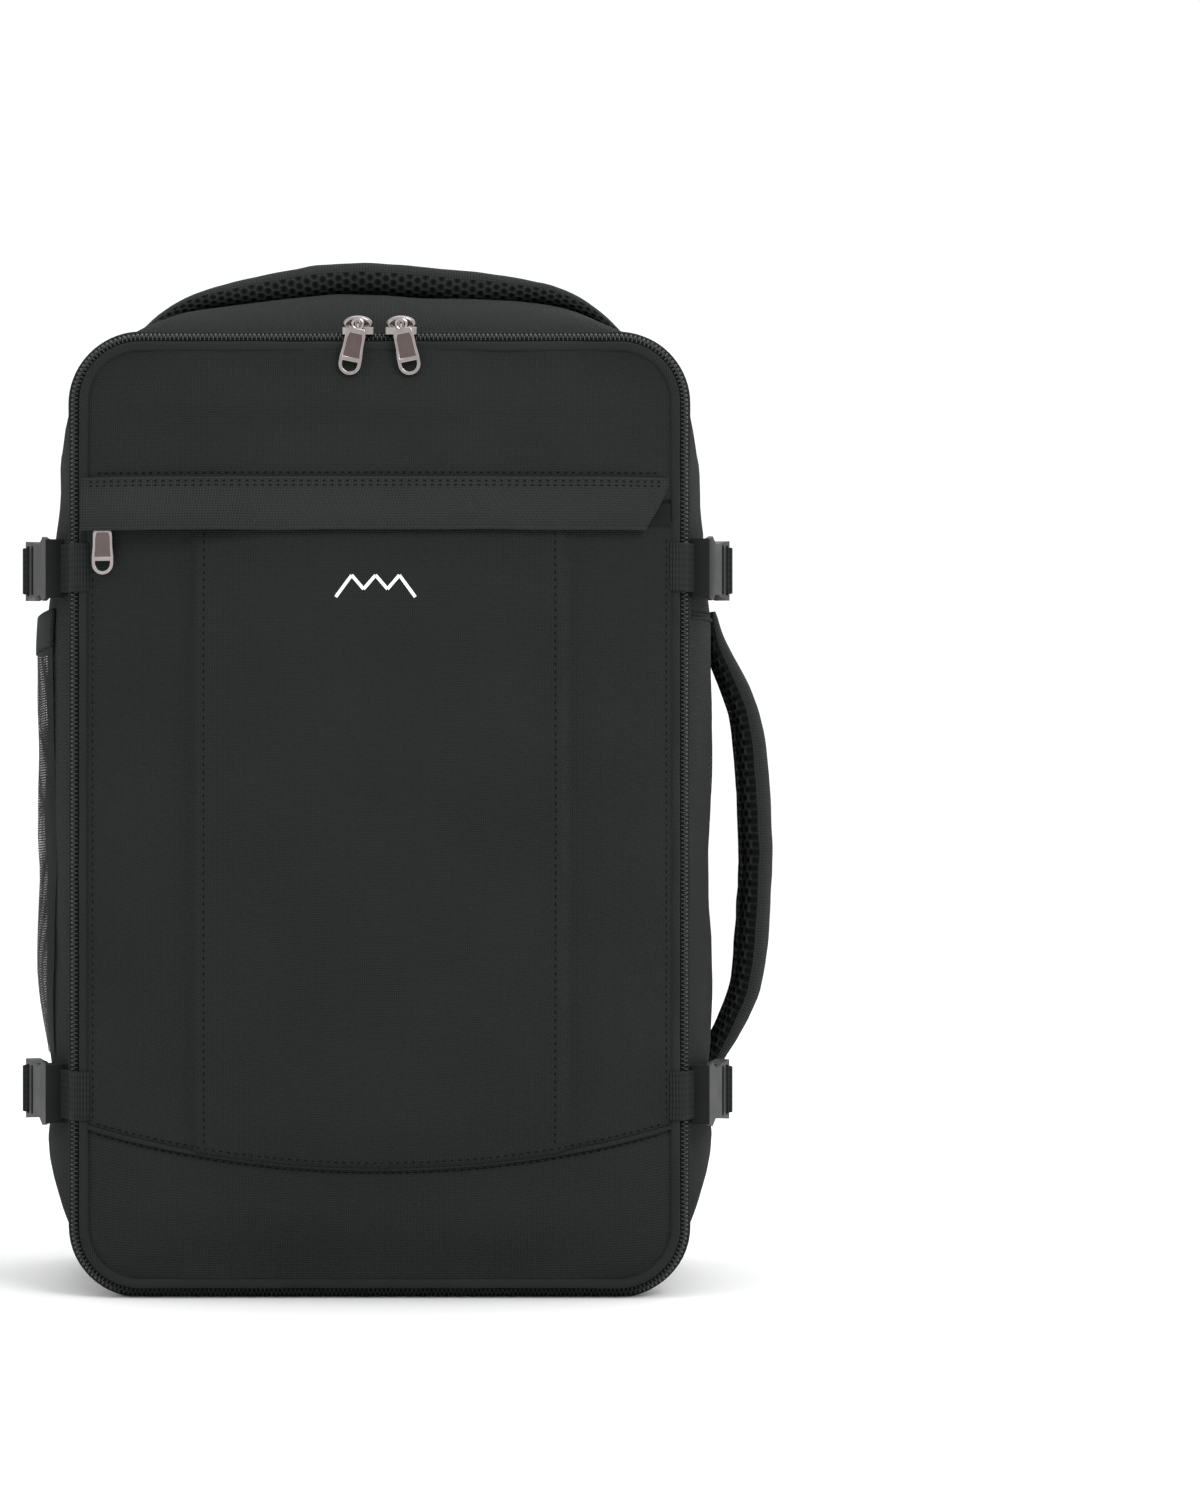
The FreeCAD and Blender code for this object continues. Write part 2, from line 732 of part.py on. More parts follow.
def female_half(label, side):
    body = new_body(label)
    depth = size("buckle_depth")
    add_plate(body, "YZ", signed(side, depth - size("buckle_plate")), signed(side, depth),
              polygon((zero, 1.5 - buckle_half), (8, -buckle_half), (15, -rail), (female_long, -rail - 1),
                      (female_long, rail + 1), (15, rail), (8, buckle_half), (zero, buckle_half - 1.5)))
    for low_z, high_z in ((-rail, 1.5 - rail), (rail - 1.5, rail)):
        add_plate(body, "YZ", zero, signed(side, depth - size("buckle_plate") + 0.5),
                  rectangle(5.5, female_long, low_z, high_z))
    add_plate(body, "YZ", zero, signed(side, depth - size("buckle_plate") + 0.5),
              rectangle(zero, 6, 1.5 - buckle_half, buckle_half - 1.5),
              rectangle(1.8, 4.2, -webbing_half, webbing_half))
    return body


def male_half(label, side):
    body = new_body(label)
    start = female_long + gap
    end = buckle_long
    add_plate(body, "YZ", signed(side, 1), signed(side, size("buckle_depth") - 1),
              polygon((start, -rail - 1), (end, 1 - buckle_half), (end, buckle_half - 1),
                      (start, rail + 1)),
              rectangle(start + 5, start + 8.5, -webbing_half, webbing_half),
              rectangle(end - 8, end - 3.5, -webbing_half, webbing_half))
    prong_end = prong_inner + size("prong_depth")
    for low_z, high_z in ((-rail + 2, -rail + 6), (-2, 2), (rail - 6, rail - 2)):
        add_plate(body, "YZ", signed(side, prong_inner), signed(side, prong_end),
                  rectangle(prong_tip, start + 0.5, low_z, high_z))
    return body


buckle_stand = web + 2.4
females = {1: [], -1: []}
for side, name in ((1, "right"), (-1, "left")):
    for level, middle in strap_levels.items():
        x, y = on_wall(buckle_starts[side], buckle_stand, side)
        turn = signed(side, -wall_tilt)
        female = female_half(f"female_{name}_{level}", side)
        females[side].append(put(female, x, y, middle, turn))
        male = male_half(f"male_buckle_{name}_{level}", side)
        keep(f"male_buckle_{name}_{level}", put(male, x, y, middle, turn))
    keep(f"female_buckles_{name}", group(f"females_{name}", females[side]))

# ---------------------------------------------------------------- zip sliders and pullers
# Each slider stands on its track with its bridge outward. The puller's top bar lies under
# the bridge, and the puller turns about that bar.

slide_half = size("slider_length") / 2
slide_wide = size("slider_width") / 2
bridge_half = size("bridge_width") / 2
bridge_reach = clear + wire

split_line = (rim_front + lid_back) / 2

OUTWARD = {"+X": ("YZ", 1), "+Y": ("XZ", 1), "-Y": ("XZ", -1), "+Z": ("XY", 1)}
BRIDGE_PLANE = {"+X": "XZ", "+Y": "YZ", "-Y": "YZ", "+Z": "YZ"}


def bridge_place(outward, along, out):
    """Turn a place along the bridge and out from the track into its sketch's own axes."""
    if outward == "+Z":
        return along, out
    return (-out if outward == "-Y" else out), along


def slider_body(label, outward):
    """A body with a narrow waist, and the bridge over it."""
    plane, sign = OUTWARD[outward]
    body = new_body(label)
    outline = [(-slide_half, -slide_wide * 0.7), (-slide_half * 0.3, -slide_wide),
               (slide_half * 0.5, -slide_wide), (slide_half, -slide_wide * 0.8),
               (slide_half, slide_wide * 0.8), (slide_half * 0.5, slide_wide),
               (-slide_half * 0.3, slide_wide), (-slide_half, slide_wide * 0.7)]
    if outward == "+X":
        outline = [(across, along) for along, across in reversed(outline)]
    add_plate(body, plane, zero, slide_deep * sign, polygon(*outline))
    inner_top = bar_height + clear
    arch = [(-bridge_reach, slide_deep - gap), (-bridge_reach, bridge_high), (bridge_reach, bridge_high),
            (bridge_reach, slide_deep - gap), (clear, slide_deep - gap), (clear, inner_top),
            (-clear, inner_top), (-clear, slide_deep - gap)]
    add_plate(body, BRIDGE_PLANE[outward], -bridge_half, bridge_half,
              polygon(*[bridge_place(outward, along, out) for along, out in arch]))
    return body


def puller_body(label, outward, folded):
    """A plate with a window for the bridge at its top and a slot near its end."""
    plane, sign = OUTWARD[outward]
    body = new_body(label)
    wide_half = size("puller_width") / 2
    window = bridge_half + 0.5
    window_end = bridge_reach + 2
    level = bar_height * sign
    long = size("puller_length")
    if not folded:
        add_plate(body, plane, level - bar, level + bar,
                  rounded(-wide_half, wide_half, -long, bar, wide_half * 0.6, bar),
                  rectangle(-window, window, -window_end, -bar),
                  rectangle(-wide_half * 0.4, wide_half * 0.4, -long * 0.9, -long * 0.62))
        return body
    fold = split_line - crown_base + size("crown_edge") + 5.4
    add_plate(body, plane, level - bar, level + bar,
              rectangle(-wide_half, wide_half, -fold, bar),
              rectangle(-window, window, -window_end, -bar))
    add_plate(body, "XZ", -fold, -fold + bar * 2,
              rounded(-wide_half, wide_half, level - long, level + bar, wide_half * 0.6, bar),
              rectangle(-wide_half * 0.4, wide_half * 0.4, level - long * 0.9, level - long * 0.5))
    return body


def zip_pull(name, outward, x, y, z, turn=None, folded=False):
    slider = put(slider_body(f"{name}_slider", outward), x, y, z, turn)
    puller = put(puller_body(f"{name}_puller", outward, folded), x, y, z, turn)
    keep(f"{name}_slider", slider)
    keep(f"{name}_puller", puller)


meeting = slide_half + 3
for side, name in ((1, "right"), (-1, "left")):
    zip_pull(f"main_zip_{name}", "+Z", meeting * side, split_line, rim_top + gap, folded=True)

laptop_x = half + zip_edge + gap
laptop_y = back + 4 + zip_half
zip_pull("laptop_zip_upper", "+X", laptop_x, laptop_y, strap_levels["upper"] + 48)
zip_pull("laptop_zip_lower", "+X", laptop_x, laptop_y, strap_levels["upper"] + 10)

side_x, side_y = on_wall(zip_along, size("lining") + 2 * gap, 1, True)
zip_pull("side_pocket_zip", "+X", side_x, side_y, side_zip_high - 15, wall_tilt)

inward = mouth_slope * 0.2
pocket_x = -edge + inward * mouth_cosine
pocket_y = rim_line - inward * mouth_sine - gap
zip_pull("pocket_zip", "-Y", pocket_x, pocket_y, mouth + band_half + 2 * gap, -mouth_tilt)

for name, level in mesh_zip_levels.items():
    zip_pull(f"lid_mesh_zip_{name}", "+Y", mesh_reach - 12, zip_face + gap, level)

# ---------------------------------------------------------------- checks and export

doc.recompute()
for thing in doc.Objects:
    if "Invalid" in thing.State or "Error" in thing.State:
        raise RuntimeError(f"{thing.Label} did not build: {thing.State}")
for label, thing in sub_parts.items():
    if thing.Shape.isNull() or not thing.Shape.isValid() or not thing.Shape.Solids:
        raise RuntimeError(f"{label} has no valid solid")

os.makedirs("parts", exist_ok=True)
for label, thing in sub_parts.items():
    thing.Shape.exportStep(f"parts/{label}.step")
print(f"{len(sub_parts)} sub-parts written")
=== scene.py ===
import json
import math

import bmesh
import bpy
from mathutils import Matrix, Vector, noise

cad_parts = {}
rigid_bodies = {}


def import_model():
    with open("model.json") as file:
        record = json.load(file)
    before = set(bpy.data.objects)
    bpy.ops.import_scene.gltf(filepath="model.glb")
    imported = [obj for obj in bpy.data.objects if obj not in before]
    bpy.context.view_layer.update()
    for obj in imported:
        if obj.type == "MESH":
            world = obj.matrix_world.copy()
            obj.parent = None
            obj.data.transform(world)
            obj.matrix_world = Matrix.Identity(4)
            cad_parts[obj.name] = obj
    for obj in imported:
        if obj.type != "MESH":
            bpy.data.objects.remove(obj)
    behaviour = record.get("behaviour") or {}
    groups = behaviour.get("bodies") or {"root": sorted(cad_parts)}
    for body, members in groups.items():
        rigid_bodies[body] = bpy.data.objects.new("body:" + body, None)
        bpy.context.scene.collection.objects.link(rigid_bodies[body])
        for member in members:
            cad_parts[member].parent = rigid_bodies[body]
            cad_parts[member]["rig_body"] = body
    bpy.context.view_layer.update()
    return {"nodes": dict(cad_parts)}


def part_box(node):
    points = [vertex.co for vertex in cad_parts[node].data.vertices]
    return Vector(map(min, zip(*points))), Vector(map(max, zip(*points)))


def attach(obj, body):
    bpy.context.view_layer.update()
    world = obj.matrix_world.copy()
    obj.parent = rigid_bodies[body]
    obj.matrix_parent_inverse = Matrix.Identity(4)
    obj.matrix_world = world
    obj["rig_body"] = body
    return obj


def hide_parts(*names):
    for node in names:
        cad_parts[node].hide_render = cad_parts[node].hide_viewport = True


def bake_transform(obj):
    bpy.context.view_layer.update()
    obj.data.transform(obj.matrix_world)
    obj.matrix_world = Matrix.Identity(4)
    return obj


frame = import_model()
MM = 0.001  # this script works in millimetres and scales each mesh on its way in


def low(node, axis):
    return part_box(node)[0][axis] / MM


def high(node, axis):
    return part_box(node)[1][axis] / MM


def mid(node, axis):
    return (low(node, axis) + high(node, axis)) / 2


# ---------------------------------------------------------------- materials

CLOTH_SHEEN = 0.02
CLOTH_GLOSS = 0.03  # low, so that the cloth stays matt where it turns away
ROW_STEP = 0.87  # rows of round cells are this part of a pitch apart


def operator(operation, swapped=False):
    """An arithmetic operator that adds one Math node."""
    def apply(self, other):
        return self.math(operation, *((other, self) if swapped else (self, other)))
    return apply


class Value:
    """A node's output, with the arithmetic that adds Math nodes to its material."""

    def __init__(self, paint, socket):
        self.paint = paint
        self.socket = socket

    def math(self, operation, *values):
        return self.paint.node("Math", {"operation": operation}, values)

    __add__, __radd__ = operator("ADD"), operator("ADD", swapped=True)
    __sub__, __rsub__ = operator("SUBTRACT"), operator("SUBTRACT", swapped=True)
    __mul__, __rmul__ = operator("MULTIPLY"), operator("MULTIPLY", swapped=True)
    __truediv__, __rtruediv__ = operator("DIVIDE"), operator("DIVIDE", swapped=True)
    __gt__, __lt__ = operator("GREATER_THAN"), operator("LESS_THAN")

    def floor(self):
        return self.math("FLOOR", self)

    def fraction(self):
        return self.math("FRACT", self)

    def power(self, exponent):
        return self.math("POWER", self, exponent)

    def wave(self):
        """0 at whole numbers and 1 halfway between them."""
        return self.math("ABSOLUTE", self.math("SINE", self * math.pi))


class Paint:
    """A material under construction."""

    def __init__(self, name, roughness=0.8, metallic=0.0, gloss=CLOTH_GLOSS, **fixed):
        self.material = bpy.data.materials.new(name)
        self.material.use_nodes = True
        self.tree = self.material.node_tree
        self.shader = self.tree.nodes["Principled BSDF"]
        self.shader.inputs["Roughness"].default_value = roughness
        self.shader.inputs["Metallic"].default_value = metallic
        self.shader.inputs["Specular IOR Level"].default_value = 0.5 if metallic else gloss
        for socket, value in fixed.items():
            self.shader.inputs[socket.replace("_", " ")].default_value = value

    def node(self, kind, settings=None, links=(), output=0):
        """Add a node, set it, then fill its inputs, by order or by name, with values or links."""
        made = self.tree.nodes.new("ShaderNode" + kind)
        for name, value in (settings or {}).items():
            setattr(made, name, value)
        pairs = links.items() if isinstance(links, dict) else enumerate(links)
        for key, value in pairs:
            if isinstance(value, Value):
                self.tree.links.new(value.socket, made.inputs[key])
            else:
                made.inputs[key].default_value = value
        return Value(self, made.outputs[output])

    def place(self):
        """The cloth's own coordinates in millimetres: across and along its threads."""
        flat = self.node("UVMap", {"uv_map": "cloth"})
        across = self.node("SeparateXYZ", None, (flat,))
        along = Value(self, across.socket.node.outputs[1])
        return across / MM, along / MM

    def cells(self, pitch):
        """The cloth's coordinates, and the distance from the middle of the nearest round cell."""
        u, v = self.place()
        row = v / (pitch * ROW_STEP)
        a = (u / pitch + row.floor() * 0.5).fraction() - 0.5
        b = row.fraction() - 0.5
        return u, v, (a * a + b * b).power(0.5)

    def cloud(self, size_mm, detail=3.0):
        """Soft noise with patches of about the given size."""
        here = self.node("TexCoord", output="Object")
        settings = {"Vector": here, "Scale": 1 / (size_mm * MM), "Detail": detail}
        return self.node("TexNoise", None, settings)

    def between(self, share, first, second):
        """A colour between two, by a value from 0 to 1."""
        return self.node("Mix", {"data_type": "RGBA"}, {0: share, 6: first, 7: second}, output=2)

    def feed(self, socket, value):
        self.tree.links.new(value.socket, self.shader.inputs[socket])

    def tone(self, share, colour, dark, light):
        """The base colour, from a darker to a lighter shade of the cloth's own."""
        self.feed("Base Color", self.between(share, shade(colour, dark), shade(colour, light)))

    def relief(self, height, depth_mm, strength=1.0):
        settings = {"Height": height, "Distance": depth_mm * MM, "Strength": strength}
        self.feed("Normal", self.node("Bump", None, settings))


def shade(colour, factor):
    """A darker or lighter shade of a colour."""
    return (*(min(1.0, c * factor) for c in colour[:3]), 1.0)


def woven(name, colour, thread, painted_shade_contrast=0.35, depth=0.25, roughness=0.82, ribs=1.0):
    """A plain weave: one rounded crossing per thread pitch, alternately warp and weft."""
    paint = Paint(name, roughness, Sheen_Weight=CLOTH_SHEEN, Sheen_Roughness=0.4)
    u, v = paint.place()
    a, b = u / thread, v / (thread * ribs)
    over = ((a.floor() + b.floor()) * 0.5).fraction() > 0.25
    crossing = a.wave() * b.wave()
    worn = paint.cloud(70)
    fuzz = paint.cloud(2.5, 2.0)
    height = crossing * (0.7 + over * 0.3)
    # the colour carries painted shade between the threads and a painted highlight on each raised crossing; worn and
    # fuzz vary the tone at random
    paint.tone(height * painted_shade_contrast * 1.4 + over * 0.12 + worn * 0.5 + fuzz * 0.25, colour, 0.55, 1.6)
    paint.feed("Roughness", roughness - 0.12 * height + (worn - 0.5) * 0.12)
    paint.relief(height + fuzz * 0.3, depth)
    return paint.material


def twilled(name, colour, pitch, depth=0.2, roughness=0.8, lean=1.0):
    """A twill: raised diagonal lines broken by the crossing threads."""
    paint = Paint(name, roughness, Sheen_Weight=CLOTH_SHEEN, Sheen_Roughness=0.4)
    u, v = paint.place()
    line = ((u + v * lean) / pitch).wave()
    thread = (v / (pitch * 0.8)).wave()
    worn = paint.cloud(45)
    height = line * (0.65 + thread * 0.35)
    # painted shade in the grooves between the diagonal lines and a painted highlight on the raised lines; worn
    # varies the tone at random
    paint.tone(height * 0.55 + worn * 0.45, colour, 0.5, 1.6)
    paint.feed("Roughness", roughness - 0.1 * height)
    paint.relief(height, depth)
    return paint.material


def ribbed(name, colour, rib, depth=0.35, roughness=0.7):
    """Webbing and rib weave: ribs across the run with fine lines along it."""
    paint = Paint(name, roughness, Sheen_Weight=CLOTH_SHEEN, Sheen_Roughness=0.35)
    u, v = paint.place()
    across = (v / rib).wave()
    along = (u / (rib * 2.2)).wave()
    worn = paint.cloud(30)
    height = across * 0.7 + along * 0.3
    # painted shade in the hollows between the ribs and a painted highlight on their crests; worn varies the tone at
    # random
    paint.tone(height * 0.75 + worn * 0.25, colour, 0.3, 2.1)
    paint.feed("Roughness", roughness - 0.12 * height)
    paint.relief(height, depth)
    return paint.material


def netted(name, colour, pitch, open_share=0.5, roughness=0.6):
    """A net whose round holes are clear."""
    paint = Paint(name, roughness)
    u, v, away = paint.cells(pitch)
    paint.tone(paint.cloud(20), colour, 0.7, 1.4)
    paint.feed("Alpha", away > 0.5 * open_share)
    return paint.material


def moulded(name, colour, roughness=0.42, grain=0.03, gloss=0.35):
    """Plastic or rubber with a fine grain, duller where it has been handled."""
    paint = Paint(name, roughness, gloss=gloss)
    grainy = paint.cloud(0.9, 2.0)
    handled = paint.cloud(14)
    paint.tone(handled, colour, 0.8, 1.3)
    paint.feed("Roughness", roughness + (handled - 0.5) * 0.18)
    paint.relief(grainy, grain)
    return paint.material


def plated(name, colour, roughness):
    """Gunmetal plating, rubbed brighter in patches, with fine scratches."""
    paint = Paint(name, roughness, metallic=1.0)
    here = paint.node("TexCoord", output="Object")
    drawn = paint.node("Mapping", None, {"Vector": here, "Scale": (900, 900, 90)})
    scratch = paint.node("TexNoise", None, {"Vector": drawn, "Scale": 1.0, "Detail": 2.0})
    rubbed = paint.cloud(5)
    paint.tone(rubbed * 0.7 + scratch * 0.3, colour, 0.75, 1.25)
    paint.feed("Roughness", roughness + scratch * 0.16 - rubbed * 0.06)
    paint.relief(scratch, 0.015)
    return paint.material


def satin(name, colour, crease=9.0, roughness=0.42):
    """Thin smooth lining with soft creases, with painted shade in their hollows."""
    paint = Paint(name, roughness, gloss=0.5, Sheen_Weight=0.15, Sheen_Roughness=0.3)
    u, v = paint.place()
    fine = (u / 0.5).wave() * (v / 0.5).wave()
    soft = paint.cloud(crease * 4, 2.0)
    tight = paint.cloud(crease, 1.5)
    # painted shade in the crease hollows and a painted highlight on their crests, from the same noise as the relief
    paint.tone(soft * 0.7 + fine * 0.3, colour, 0.82, 1.15)
    paint.feed("Roughness", roughness + (soft - 0.5) * 0.2)
    paint.relief(tight * 0.6 + soft * 0.7 + fine * 0.03, 0.9, 0.5)
    return paint.material


def honeycomb(name, colour, pitch):
    """Padded spacer mesh: round cells in a staggered net of soft ribs, with painted shade in the cells and a
    painted highlight on the ribs.
    """
    paint = Paint(name, 0.75)
    u, v, away = paint.cells(pitch)
    rib = away.math("SMOOTH_MIN", away, 0.5, 0.1) * 2.2
    yarn = (u / 0.55).wave() * (v / 0.55).wave()
    height = rib.power(2.0)
    # painted shade down in the cells and a painted highlight on the rib tops
    paint.tone(height * 0.85 + yarn * 0.15, colour, 0.25, 2.6)
    paint.feed("Roughness", 0.85 - height * 0.25)
    paint.relief(height + yarn * 0.08, 1.2)
    return paint.material


CHARCOAL = (0.0140, 0.0156, 0.0149)
DARK = (0.0102, 0.0112, 0.0108)
oxford = woven("oxford_shell", CHARCOAL, 1.15, painted_shade_contrast=0.8, depth=0.5)
coarse = woven("coarse_flap", shade(CHARCOAL, 1.28), 1.5, painted_shade_contrast=0.9, depth=0.6)
rib_top = woven("ribbed_top", shade(CHARCOAL, 1.05), 1.6, depth=0.35, ribs=0.4)
foam = woven("lid_backing", (0.05, 0.052, 0.055), 1.0)
binding = twilled("binding_twill", shade(CHARCOAL, 1.15), 1.3, lean=0.6)
tape = twilled("zip_tape", DARK, 0.9, depth=0.12)
grey_tape = twilled("grey_tape", (0.20, 0.22, 0.235), 1.2, depth=0.15)
webbing = ribbed("strap_webbing", shade(DARK, 1.15), 1.5, depth=0.4)
thread = ribbed("sewing_thread", (0.004, 0.0045, 0.0045), 0.5, depth=0.1)
spacer = honeycomb("spacer_mesh", DARK, 4.8)
net = netted("stretch_net", shade(DARK, 1.2), 1.5)
lining_net = netted("lining_net", (0.34, 0.40, 0.44), 2.2, open_share=0.66, roughness=0.7)
lining = satin("satin_lining", (0.215, 0.285, 0.335))
coil = moulded("zip_coil", (0.010, 0.011, 0.011), roughness=0.4)
plastic = moulded("buckle_plastic", (0.0070, 0.0075, 0.0075), roughness=0.45, gloss=0.14)
rubber = moulded("port_rubber", (0.012, 0.013, 0.013), roughness=0.55, grain=0.05)
white_print = moulded("white_print", (0.78, 0.78, 0.77), roughness=0.6)
metal = plated("gunmetal_plate", (0.115, 0.088, 0.085), roughness=0.27)
bright = plated("nickel_body", (0.30, 0.275, 0.27), roughness=0.2)


# ---------------------------------------------------------------- mesh making

def finish_piece(obj, name, body, replaced=()):
    obj.name = name
    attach(obj, body)
    if replaced:
        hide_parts(*replaced)
    return obj


def bend_piece(obj):
    """A piece taken off its body, with its place baked into its mesh."""
    obj.parent = None
    del obj["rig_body"]
    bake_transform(obj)


def new_mesh(name, points, faces, flat_places, materials, choices=None, smooth=True):
    """An object from points in millimetres, with its cloth coordinates as a UV map."""
    mesh = bpy.data.meshes.new(name)
    mesh.from_pydata([(x * MM, y * MM, max(z, 0.0) * MM) for x, y, z in points], [], faces)
    layer = mesh.uv_layers.new(name="cloth")
    places = flat_places or [(p[0] + p[1], p[2]) for p in points]
    for loop in mesh.loops:
        u, v = places[loop.vertex_index]
        layer.data[loop.index].uv = (u * MM, v * MM)
    for material in materials:
        mesh.materials.append(material)
    if choices:
        mesh.polygons.foreach_set("material_index", choices)
    mesh.polygons.foreach_set("use_smooth", [smooth] * len(mesh.polygons))
    mesh.update()
    obj = bpy.data.objects.new(name, mesh)
    bpy.context.scene.collection.objects.link(obj)
    return obj


def run_lengths(points):
    """The distance from the first point to each one."""
    lengths = [0.0]
    for before, after in zip(points, points[1:]):
        lengths.append(lengths[-1] + (after - before).length)
    return lengths


def sheet_piece(name, rows, body, materials, thickness=1.2, replaced=(), choice=None, flip=False):
    """A curved sheet through rows of points, thickened behind its face."""
    across = run_lengths(rows[len(rows) // 2])
    middle = len(rows[0]) // 2
    along = run_lengths([row[middle] for row in rows])
    width = len(rows[0])
    points = [p for row in rows for p in row]
    places = [(across[c], along[r]) for r in range(len(rows)) for c in range(width)]
    faces, choices = [], []
    for r in range(len(rows) - 1):
        for c in range(width - 1):
            corners = (r * width + c, r * width + c + 1, (r + 1) * width + c + 1, (r + 1) * width + c)
            faces.append(corners[::-1] if flip else corners)
            choices.append(choice(r, c) if choice else 0)
    obj = new_mesh(name, points, faces, places, materials, choices)
    if thickness:
        wall = obj.modifiers.new("wall", "SOLIDIFY")
        wall.thickness = thickness * MM
        wall.offset = -1
    return finish_piece(obj, name, body, replaced)


def sweep(name, frames, profile, body, material, closed=False, replaced=(), relief=None):
    """A profile carried along frames of (centre, side, up)."""
    count = len(profile)
    round_profile = [Vector((a, b, 0)) for a, b in profile]
    around = run_lengths(round_profile + round_profile[:1])
    along = run_lengths([f[0] for f in frames] + ([frames[0][0]] if closed else []))
    rows = len(frames) + (1 if closed else 0)
    points, places = [], []
    for r in range(rows):
        centre, side, up = frames[r % len(frames)]
        for j in range(count + 1):
            a, b = profile[j % count]
            point = centre + side * a + up * b
            if relief:
                point += relief(along[r], side)
            points.append(point)
            places.append((around[j], along[r]))
    faces = []
    width = count + 1
    for r in range(rows - 1):
        for j in range(count):
            faces.append((r * width + j, r * width + j + 1, (r + 1) * width + j + 1, (r + 1) * width + j))
    if not closed:
        faces.append(tuple(range(count - 1, -1, -1)))
        faces.append(tuple((rows - 1) * width + j for j in range(count)))
    obj = new_mesh(name, points, faces, places, [material])
    return finish_piece(obj, name, body, replaced)


def slab(name, outline, holes, thickness, bevel, place, material):
    """A plate cut from an outline with holes, its edges rounded, moved by a matrix."""
    curve = bpy.data.curves.new(name, "CURVE")
    curve.dimensions = "2D"
    curve.fill_mode = "BOTH"
    curve.extrude = (thickness / 2 - bevel) * MM
    curve.bevel_depth = bevel * MM
    curve.bevel_resolution = 2
    curve.offset = -bevel * MM
    for loop in [outline, *holes]:
        spline = curve.splines.new("POLY")
        spline.points.add(len(loop) - 1)
        for point, (x, y) in zip(spline.points, loop):
            point.co = (x * MM, y * MM, 0, 1)
        spline.use_cyclic_u = True
    holder = bpy.data.objects.new(name + "_outline", curve)
    bpy.context.scene.collection.objects.link(holder)
    mesh = bpy.data.meshes.new_from_object(holder)
    bpy.data.objects.remove(holder)
    mesh.transform(place)
    mesh.materials.clear()
    mesh.materials.append(material)
    layer = mesh.uv_layers.get("cloth") or mesh.uv_layers.new(name="cloth")
    for loop in mesh.loops:
        where = mesh.vertices[loop.vertex_index].co
        layer.data[loop.index].uv = (where.x + where.y, where.z)
    obj = bpy.data.objects.new(name, mesh)
    bpy.context.scene.collection.objects.link(obj)
    return obj


def joined(name, pieces, body, replaced=(), angle=40):
    """Several objects made one piece, shaded smooth except at sharp edges."""
    bpy.ops.object.select_all(action="DESELECT")
    for piece in pieces:
        piece.select_set(True)
    bpy.context.view_layer.objects.active = pieces[0]
    if len(pieces) > 1:
        bpy.ops.object.join()
    obj = bpy.context.view_layer.objects.active
    obj.data.polygons.foreach_set("use_smooth", [True] * len(obj.data.polygons))
    obj.data.set_sharp_from_angle(angle=math.radians(angle))
    return finish_piece(obj, name, body, replaced)


def place_at(origin, x_axis, y_axis, z_axis):
    """A matrix from local millimetres, already scaled to metres, to a place in the frame."""
    turn = Matrix((x_axis, y_axis, z_axis)).transposed().to_4x4()
    return Matrix.Translation(origin * MM) @ turn


def ellipse(across, deep, count=10, square=1.0, square_deep=None, crowd=0.0):
    """A closed profile between an ellipse and a rounded rectangle; crowd draws points to its middle."""
    points = []
    for k in range(count):
        turn = 2 * math.pi * k / count
        turn += crowd * math.sin(2 * turn)
        c, s = math.cos(turn), math.sin(turn)
        points.append((across * math.copysign(abs(c) ** square, c),
                       deep * math.copysign(abs(s) ** (square_deep or square), s)))
    return points


def strap_profile(width, thick):
    """Flat webbing with rounded edges."""
    half, edge = width / 2, thick / 2
    rounding = [(half - edge * 0.4, -edge), (half, 0), (half - edge * 0.4, edge)]
    top = [(half - width * k / 8, edge) for k in range(1, 8)]
    left = [(-x, -y) for x, y in rounding]
    bottom = [(-half + width * k / 8, -edge) for k in range(1, 8)]
    return rounding + top + left + bottom


def smooth_run(points, steps=8):
    """A Catmull-Rom line through the given points."""
    ends = [points[0] * 2 - points[1], *points, points[-1] * 2 - points[-2]]
    line = []
    for a, b, c, d in zip(ends, ends[1:], ends[2:], ends[3:]):
        for k in range(steps):
            t = k / steps
            line.append(0.5 * ((2 * b) + (c - a) * t + (2 * a - 5 * b + 4 * c - d) * t * t
                               + (3 * b - a - 3 * c + d) * t ** 3))
    return line + [points[-1]]


def web_run(name, line, side, body, thick=1.4, width=25.0, material=webbing, replaced=()):
    """A run of flat webbing along a line, its width along the side direction."""
    return sweep(name, frames_along(line, side), strap_profile(width, thick), body, material,
                 replaced=replaced)


def frames_along(line, side):
    """Frames for a run that keeps one side direction, such as a strap's width."""
    frames = []
    for k, centre in enumerate(line):
        ahead = line[min(k + 1, len(line) - 1)] - line[max(k - 1, 0)]
        up = ahead.cross(side).normalized()
        frames.append((centre, side, up))
    return frames


def eased(t):
    t = max(0.0, min(1.0, t))
    return t * t * (3 - 2 * t)


def level_curve(stops, at):
    """Smooth interpolation through (place, value) stops."""
    if at <= stops[0][0]:
        return stops[0][1]
    for (a, low_value), (b, high_value) in zip(stops, stops[1:]):
        if at <= b:
            return low_value + (high_value - low_value) * eased((at - a) / (b - a))
    return stops[-1][1]


